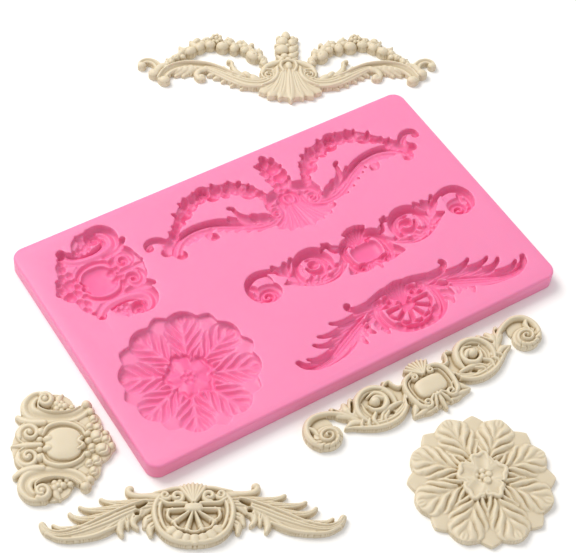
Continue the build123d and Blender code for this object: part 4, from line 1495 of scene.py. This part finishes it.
@dataclass
class Hollow:
    """Where an ornament is sunk into the mould."""

    relief: Relief
    x: float
    y: float

    def local(self, x: np.ndarray, y: np.ndarray) -> tuple[np.ndarray, np.ndarray]:
        """Turns the mould's millimetres into the ornament's, which is face down.

        Args:
            x: in the mould's frame.
            y: in the mould's frame.

        Returns:
            x and y in the ornament's frame.
        """
        return self.x - x, y - self.y


@dataclass
class Mould:
    """The silicone slab with its cavities. Sizes are in millimetres.

    Its corners are round in plan, and its top and base edges are rounded over. The top dips by the lip
    beside a cavity, fading out over the lip's blur passes, and by the brink at its very edge. A cavity's
    wall ends at the foot's share of the depth beside it. Its painted shade, a deeper pink, starts at
    shade_from below the top and is full shade_over further down. The skirt is the outer strip that never
    takes that painted shade.
    The grid's cells stay small only in the blocks of cells that a cavity touches.
    """

    node: str
    body: str
    hollows: Sequence[Hollow]
    corner: float = 5.0
    corner_steps: int = 12
    edge_steps: int = 5
    top_round: float = 1.0
    base_round: float = 0.4
    border: float = 0.6
    lip: float = 0.12
    lip_passes: int = 3
    lip_fade: float = 0.4
    brink: float = 1.6 * 0.12
    foot: float = 0.92
    shade_from: float = 0.8
    shade_over: float = 3.6
    skirt: float = 1.2
    pitch: float = 0.22
    block: int = 8
    budget: int = 190000
    crease: float = 40.0

    def _ring(self, half: Vector, inset: float, height: float) -> np.ndarray:
        """Gives a rounded rectangle's points, counter-clockwise.

        Args:
            half: half the slab's sizes.
            inset: how far the ring is drawn in.
            height: its height.

        Returns:
            The points.
        """
        out, radius = [], self.corner - inset
        for quarter, (sx, sy) in enumerate(((1, 1), (-1, 1), (-1, -1), (1, -1))):
            cx, cy = sx * (half.x - self.corner), sy * (half.y - self.corner)
            for k in range(self.corner_steps + 1):
                turn = math.radians(90 * quarter + 90 / self.corner_steps * k)
                out.append((cx + radius * math.cos(turn), cy + radius * math.sin(turn), height))
        return np.array(out)

    def build(self, material: bpy.types.Material) -> bpy.types.Object:
        """Builds the mould where its CAD node lies.

        Args:
            material: its finish.

        Returns:
            The piece.
        """
        low, high = (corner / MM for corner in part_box(self.node))
        half, top = (high - low) / 2, high.z
        nx, ny = (int((side - self.top_round - self.border) / (self.pitch * self.block)) * self.block
                  for side in (half.x, half.y))
        xs, ys = np.arange(-nx, nx + 1) * self.pitch, np.arange(-ny, ny + 1) * self.pitch
        gx, gy = np.meshgrid(xs, ys)
        inside = np.full(gx.shape, OUTSIDE)
        depth = np.zeros(gx.shape)
        for hollow in self.hollows:
            lx, ly = hollow.local(gx, gy)
            share = read(hollow.relief.inside() - OUTSIDE, hollow.relief, lx, ly)
            inside = np.maximum(inside, share + OUTSIDE)
            depth = np.maximum(depth, read(hollow.relief.spread(), hollow.relief, lx, ly))
        line = Outline(inside)
        fine = self._fine_cells(line)
        number = np.full(gx.shape, -1)
        padded = np.pad(fine, 1)
        used = padded[:-1, :-1] | padded[:-1, 1:] | padded[1:, 1:] | padded[1:, :-1]
        used[::self.block, ::self.block] = True
        number[used] = np.arange(used.sum())
        rows, cols = np.nonzero(used)
        beside = np.clip(blurred(line.inside, self.lip_passes) * ~line.inside / self.lip_fade, 0, 1)
        level = np.where(line.inside, top - depth, top - self.lip * beside)
        spots = [np.column_stack([xs[cols], ys[rows], level[rows, cols]])]
        rim_x, rim_y = xs[0] + line.spots[:, 0] * self.pitch, ys[0] + line.spots[:, 1] * self.pitch
        fx = np.clip(line.spots[:, 0].astype(int), 0, gx.shape[1] - 2)
        fy = np.clip(line.spots[:, 1].astype(int), 0, gx.shape[0] - 2)
        near = np.maximum.reduce([depth[fy, fx], depth[fy + 1, fx], depth[fy, fx + 1]])
        lip, foot = int(used.sum()), int(used.sum()) + len(rim_x)
        spots.append(np.column_stack([rim_x, rim_y, np.full(len(rim_x), top - self.brink)]))
        spots.append(np.column_stack([rim_x, rim_y, top - np.maximum(near * self.foot, LEAST_WALL)]))
        faces = grid_quads(line.full(line.inside) & fine, number)
        faces += grid_quads(line.full(~line.inside) & fine, number)
        for inner, outer, (a, b) in line.mixed():
            faces.append([number[w[1], w[2]] if w[0] == "g" else foot + w[1] for w in inner])
            faces.append([number[w[1], w[2]] if w[0] == "g" else lip + w[1] for w in outer])
            faces.append([foot + b, foot + a, lip + a, lip + b])
        faces += self._plain_blocks(fine, number)
        self._outside(spots, faces, number, half, low.z, top)
        piece = new_object(self.node + "_look", np.vstack(spots), faces, material)
        thinned(piece, self.budget)
        creased(piece, self.crease)
        # Painted shade: the cavities are painted a deeper pink the further they sink below the top, except on
        # the skirt and the base.
        x, y, z = (corners_of(piece) / MM).T
        within = (np.abs(x) < half.x - self.skirt) & (np.abs(y) < half.y - self.skirt) & (z > self.base_round)
        mark(piece, "depth", np.clip((top - self.shade_from - z) / self.shade_over, 0, 1) ** 1.1 * within)
        centre = (low + high) / 2 * MM
        piece.data.transform(Matrix.Translation((centre.x, centre.y, 0)))
        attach(piece, self.body)
        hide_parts(self.node)
        return piece

    def _fine_cells(self, line: Outline) -> np.ndarray:
        """Finds the cells that are kept small: those of every block that a cavity touches.

        Args:
            line: the cavities' outline.

        Returns:
            True for each small cell.
        """
        near = line.field_values > FAR_OUTSIDE
        touched = near[:-1, :-1] | near[:-1, 1:] | near[1:, 1:] | near[1:, :-1]
        tall, wide = touched.shape[0] // self.block, touched.shape[1] // self.block
        blocks = touched.reshape(tall, self.block, wide, self.block).any((1, 3))
        return np.repeat(np.repeat(blocks, self.block, 0), self.block, 1)

    def _plain_blocks(self, fine: np.ndarray, number: np.ndarray) -> list[list[int]]:
        """Makes one face of each flat block, with every vertex that its neighbours have on its edge.

        Args:
            fine: the small cells.
            number: vertex numbers on the grid.

        Returns:
            The faces.
        """
        n, faces = self.block, []
        for j in range(0, fine.shape[0], n):
            for i in range(0, fine.shape[1], n):
                if fine[j, i]:
                    continue
                edge = [*number[j, i:i + n], *number[j:j + n, i + n], *number[j + n, i + n:i:-1],
                        *number[j + n:j:-1, i]]
                faces.append([v for v in edge if v >= 0])
        return faces

    def _outside(self, spots: list[np.ndarray], faces: list, number: np.ndarray, half: Vector, base: float,
                 top: float) -> None:
        """Adds the plain border, the rounded edges, the walls and the base.

        Args:
            spots: vertex places, added to.
            faces: faces, added to.
            number: vertex numbers on the grid.
            half: half the slab's sizes.
            base: the base's height.
            top: the top's height.
        """
        border = [*number[0, :-1], *number[:-1, -1], *number[-1, :0:-1], *number[:0:-1, 0]]
        border = [v for v in border if v >= 0]
        rings = []
        for k in range(self.edge_steps + 1):
            turn = math.pi / 2 * k / self.edge_steps
            rings.append((self.top_round * (1 - math.sin(turn)), top - self.top_round * (1 - math.cos(turn))))
        middle = self.base_round * 0.3  # where a quarter circle is halfway round
        rings += [(0, base + self.base_round), (middle, base + middle), (self.base_round, base)]
        start = sum(len(s) for s in spots)
        loop_spots = [self._ring(half, inset, height) for inset, height in rings]
        size = len(loop_spots[0])
        spots += loop_spots
        every = np.vstack(spots)
        faces += filled_flat([border, list(range(start, start + size))], every, upwards=True)
        for ring in range(len(rings) - 1):
            a, b = start + ring * size, start + (ring + 1) * size
            for k in range(size):
                faces.append([a + k, b + k, b + (k + 1) % size, a + (k + 1) % size])
        last = start + (len(rings) - 1) * size
        faces.append(list(range(last + size - 1, last - 1, -1)))


@dataclass
class Studio:
    """A plain pale floor, soft light and the camera, in metres and degrees."""

    target: tuple[float, float, float] = (-0.0030, -0.0058, 0.007)
    distance: float = 0.6064
    azimuth: float = -36.98
    elevation: float = 52.0
    roll: float = 6.21
    lens: float = 102.3
    floor_reach: float = 6.0
    surroundings: float = 0.64

    def camera(self) -> None:
        """Sets the camera at its viewing angle."""
        a, e, r = (math.radians(v) for v in (self.azimuth, self.elevation, self.roll))
        back = Vector((math.sin(a) * math.cos(e), -math.cos(a) * math.cos(e), math.sin(e)))
        right = (-back).cross(Vector((0, 0, 1))).normalized()
        up = right.cross(-back)
        side = right * math.cos(r) + up * math.sin(r)
        above = up * math.cos(r) - right * math.sin(r)
        data = bpy.data.cameras.new("camera")
        data.sensor_width, data.lens = 36.0, self.lens
        data.clip_start, data.clip_end = 0.01, 20
        eye = bpy.data.objects.new("camera", data)
        place = Matrix((side, above, back)).transposed().to_4x4()
        place.translation = Vector(self.target) + back * self.distance
        eye.matrix_world = place
        bpy.context.scene.collection.objects.link(eye)
        bpy.context.scene.camera = eye

    def floor(self) -> None:
        """Lays a plain, pale floor under the pieces."""
        material = bpy.data.materials.new("pale_floor")
        material.use_nodes = True
        shader = material.node_tree.nodes["Principled BSDF"]
        shader.inputs["Base Color"].default_value = linear("#fbfaf9")
        shader.inputs["Roughness"].default_value = 0.9
        shader.inputs["Specular IOR Level"].default_value = 0.1
        mesh = bpy.data.meshes.new("floor")
        far = self.floor_reach
        corners = [(-far, -far, 0), (far, -far, 0), (far, far, 0), (-far, far, 0)]
        mesh.from_pydata(corners, [], [(0, 1, 2, 3)])
        mesh.materials.append(material)
        floor = bpy.data.objects.new("floor", mesh)
        bpy.context.scene.collection.objects.link(floor)

    def light(self, name: str, place: tuple[float, float, float], size: float, power: float,
              colour: str) -> None:
        """Hangs a soft square light that faces the pieces.

        Args:
            name: its name.
            place: where it hangs.
            size: its side.
            power: in watts.
            colour: as sRGB hex.
        """
        data = bpy.data.lights.new(name, "AREA")
        data.size, data.energy, data.color = size, power, linear(colour)[:3]
        lamp = bpy.data.objects.new(name, data)
        lamp.location = place
        lamp.rotation_euler = (-Vector(place)).to_track_quat("-Z", "Y").to_euler()
        bpy.context.scene.collection.objects.link(lamp)

    def build(self) -> None:
        """Sets up the floor, the lights, the surroundings and the camera."""
        self.floor()
        self.light("key", (-0.32, 0.86, 1.18), 0.8, 16.4, "#fffdf9")
        self.light("fill", (0.9, -0.7, 0.9), 1.2, 1.2, "#f6f8ff")
        world = bpy.data.worlds.new("surroundings")
        world.use_nodes = True
        sky = world.node_tree.nodes["Background"].inputs
        sky["Color"].default_value = linear("#ffffff")
        sky["Strength"].default_value = self.surroundings
        bpy.context.scene.world = world
        bpy.context.scene.view_settings.view_transform = "Standard"
        self.camera()


# Millimetres from the mould's ends and sides to the cavities, the scroll bar's place across the mould,
# and how far the castings are turned on the bench, in degrees.
END_MARGIN, SIDE_MARGIN = 6.0, 3.8
BAR_ACROSS = -8.3
BENCH_TURN = -28.4


def main() -> None:
    """Sculpts each ornament and builds its casting, then builds the mould and the studio."""
    logging.basicConfig(level=logging.INFO, format="%(name)s %(message)s")
    silicone, resin = SILICONE.build(), RESIN.build()
    shop = Workshop(resin)
    low, high = (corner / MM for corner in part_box("silicone_mould"))
    middle = (low + high) / 2
    left, right = low.x + END_MARGIN - middle.x, high.x - END_MARGIN - middle.x
    bottom, top = low.y + SIDE_MARGIN - middle.y, high.y - SIDE_MARGIN - middle.y
    kinds = (Crown, ScrollBar, FanSwag, Rosette, Cartouche)
    crown, bar, swag, rosette, cartouche = (kind(shop=shop) for kind in kinds)
    layout = [
        (crown, right - crown.half_x, top - crown.half_y, BENCH_TURN),
        (bar, right - bar.half_x, BAR_ACROSS, 0.0),
        (swag, right - swag.half_x, bottom + swag.half_y, BENCH_TURN),
        (rosette, left + rosette.half_x, bottom + rosette.half_y, BENCH_TURN),
        (cartouche, left + cartouche.half_x, top - cartouche.half_y, BENCH_TURN)]
    pieces, hollows = [], []
    for ornament, x, y, turn in layout:
        relief = ornament.sculpt()
        casting = Casting(f"{ornament.name}_casting", f"{ornament.name}_piece", relief, turn)
        pieces.append(casting.build(resin))
        hollows.append(Hollow(relief, x, y))
    pieces.append(Mould("silicone_mould", "mould", hollows).build(silicone))
    for piece in pieces:
        log.info("%s: %d faces", piece.name, len(piece.data.polygons))
    Studio().build()


if __name__ == "__main__":
    main()
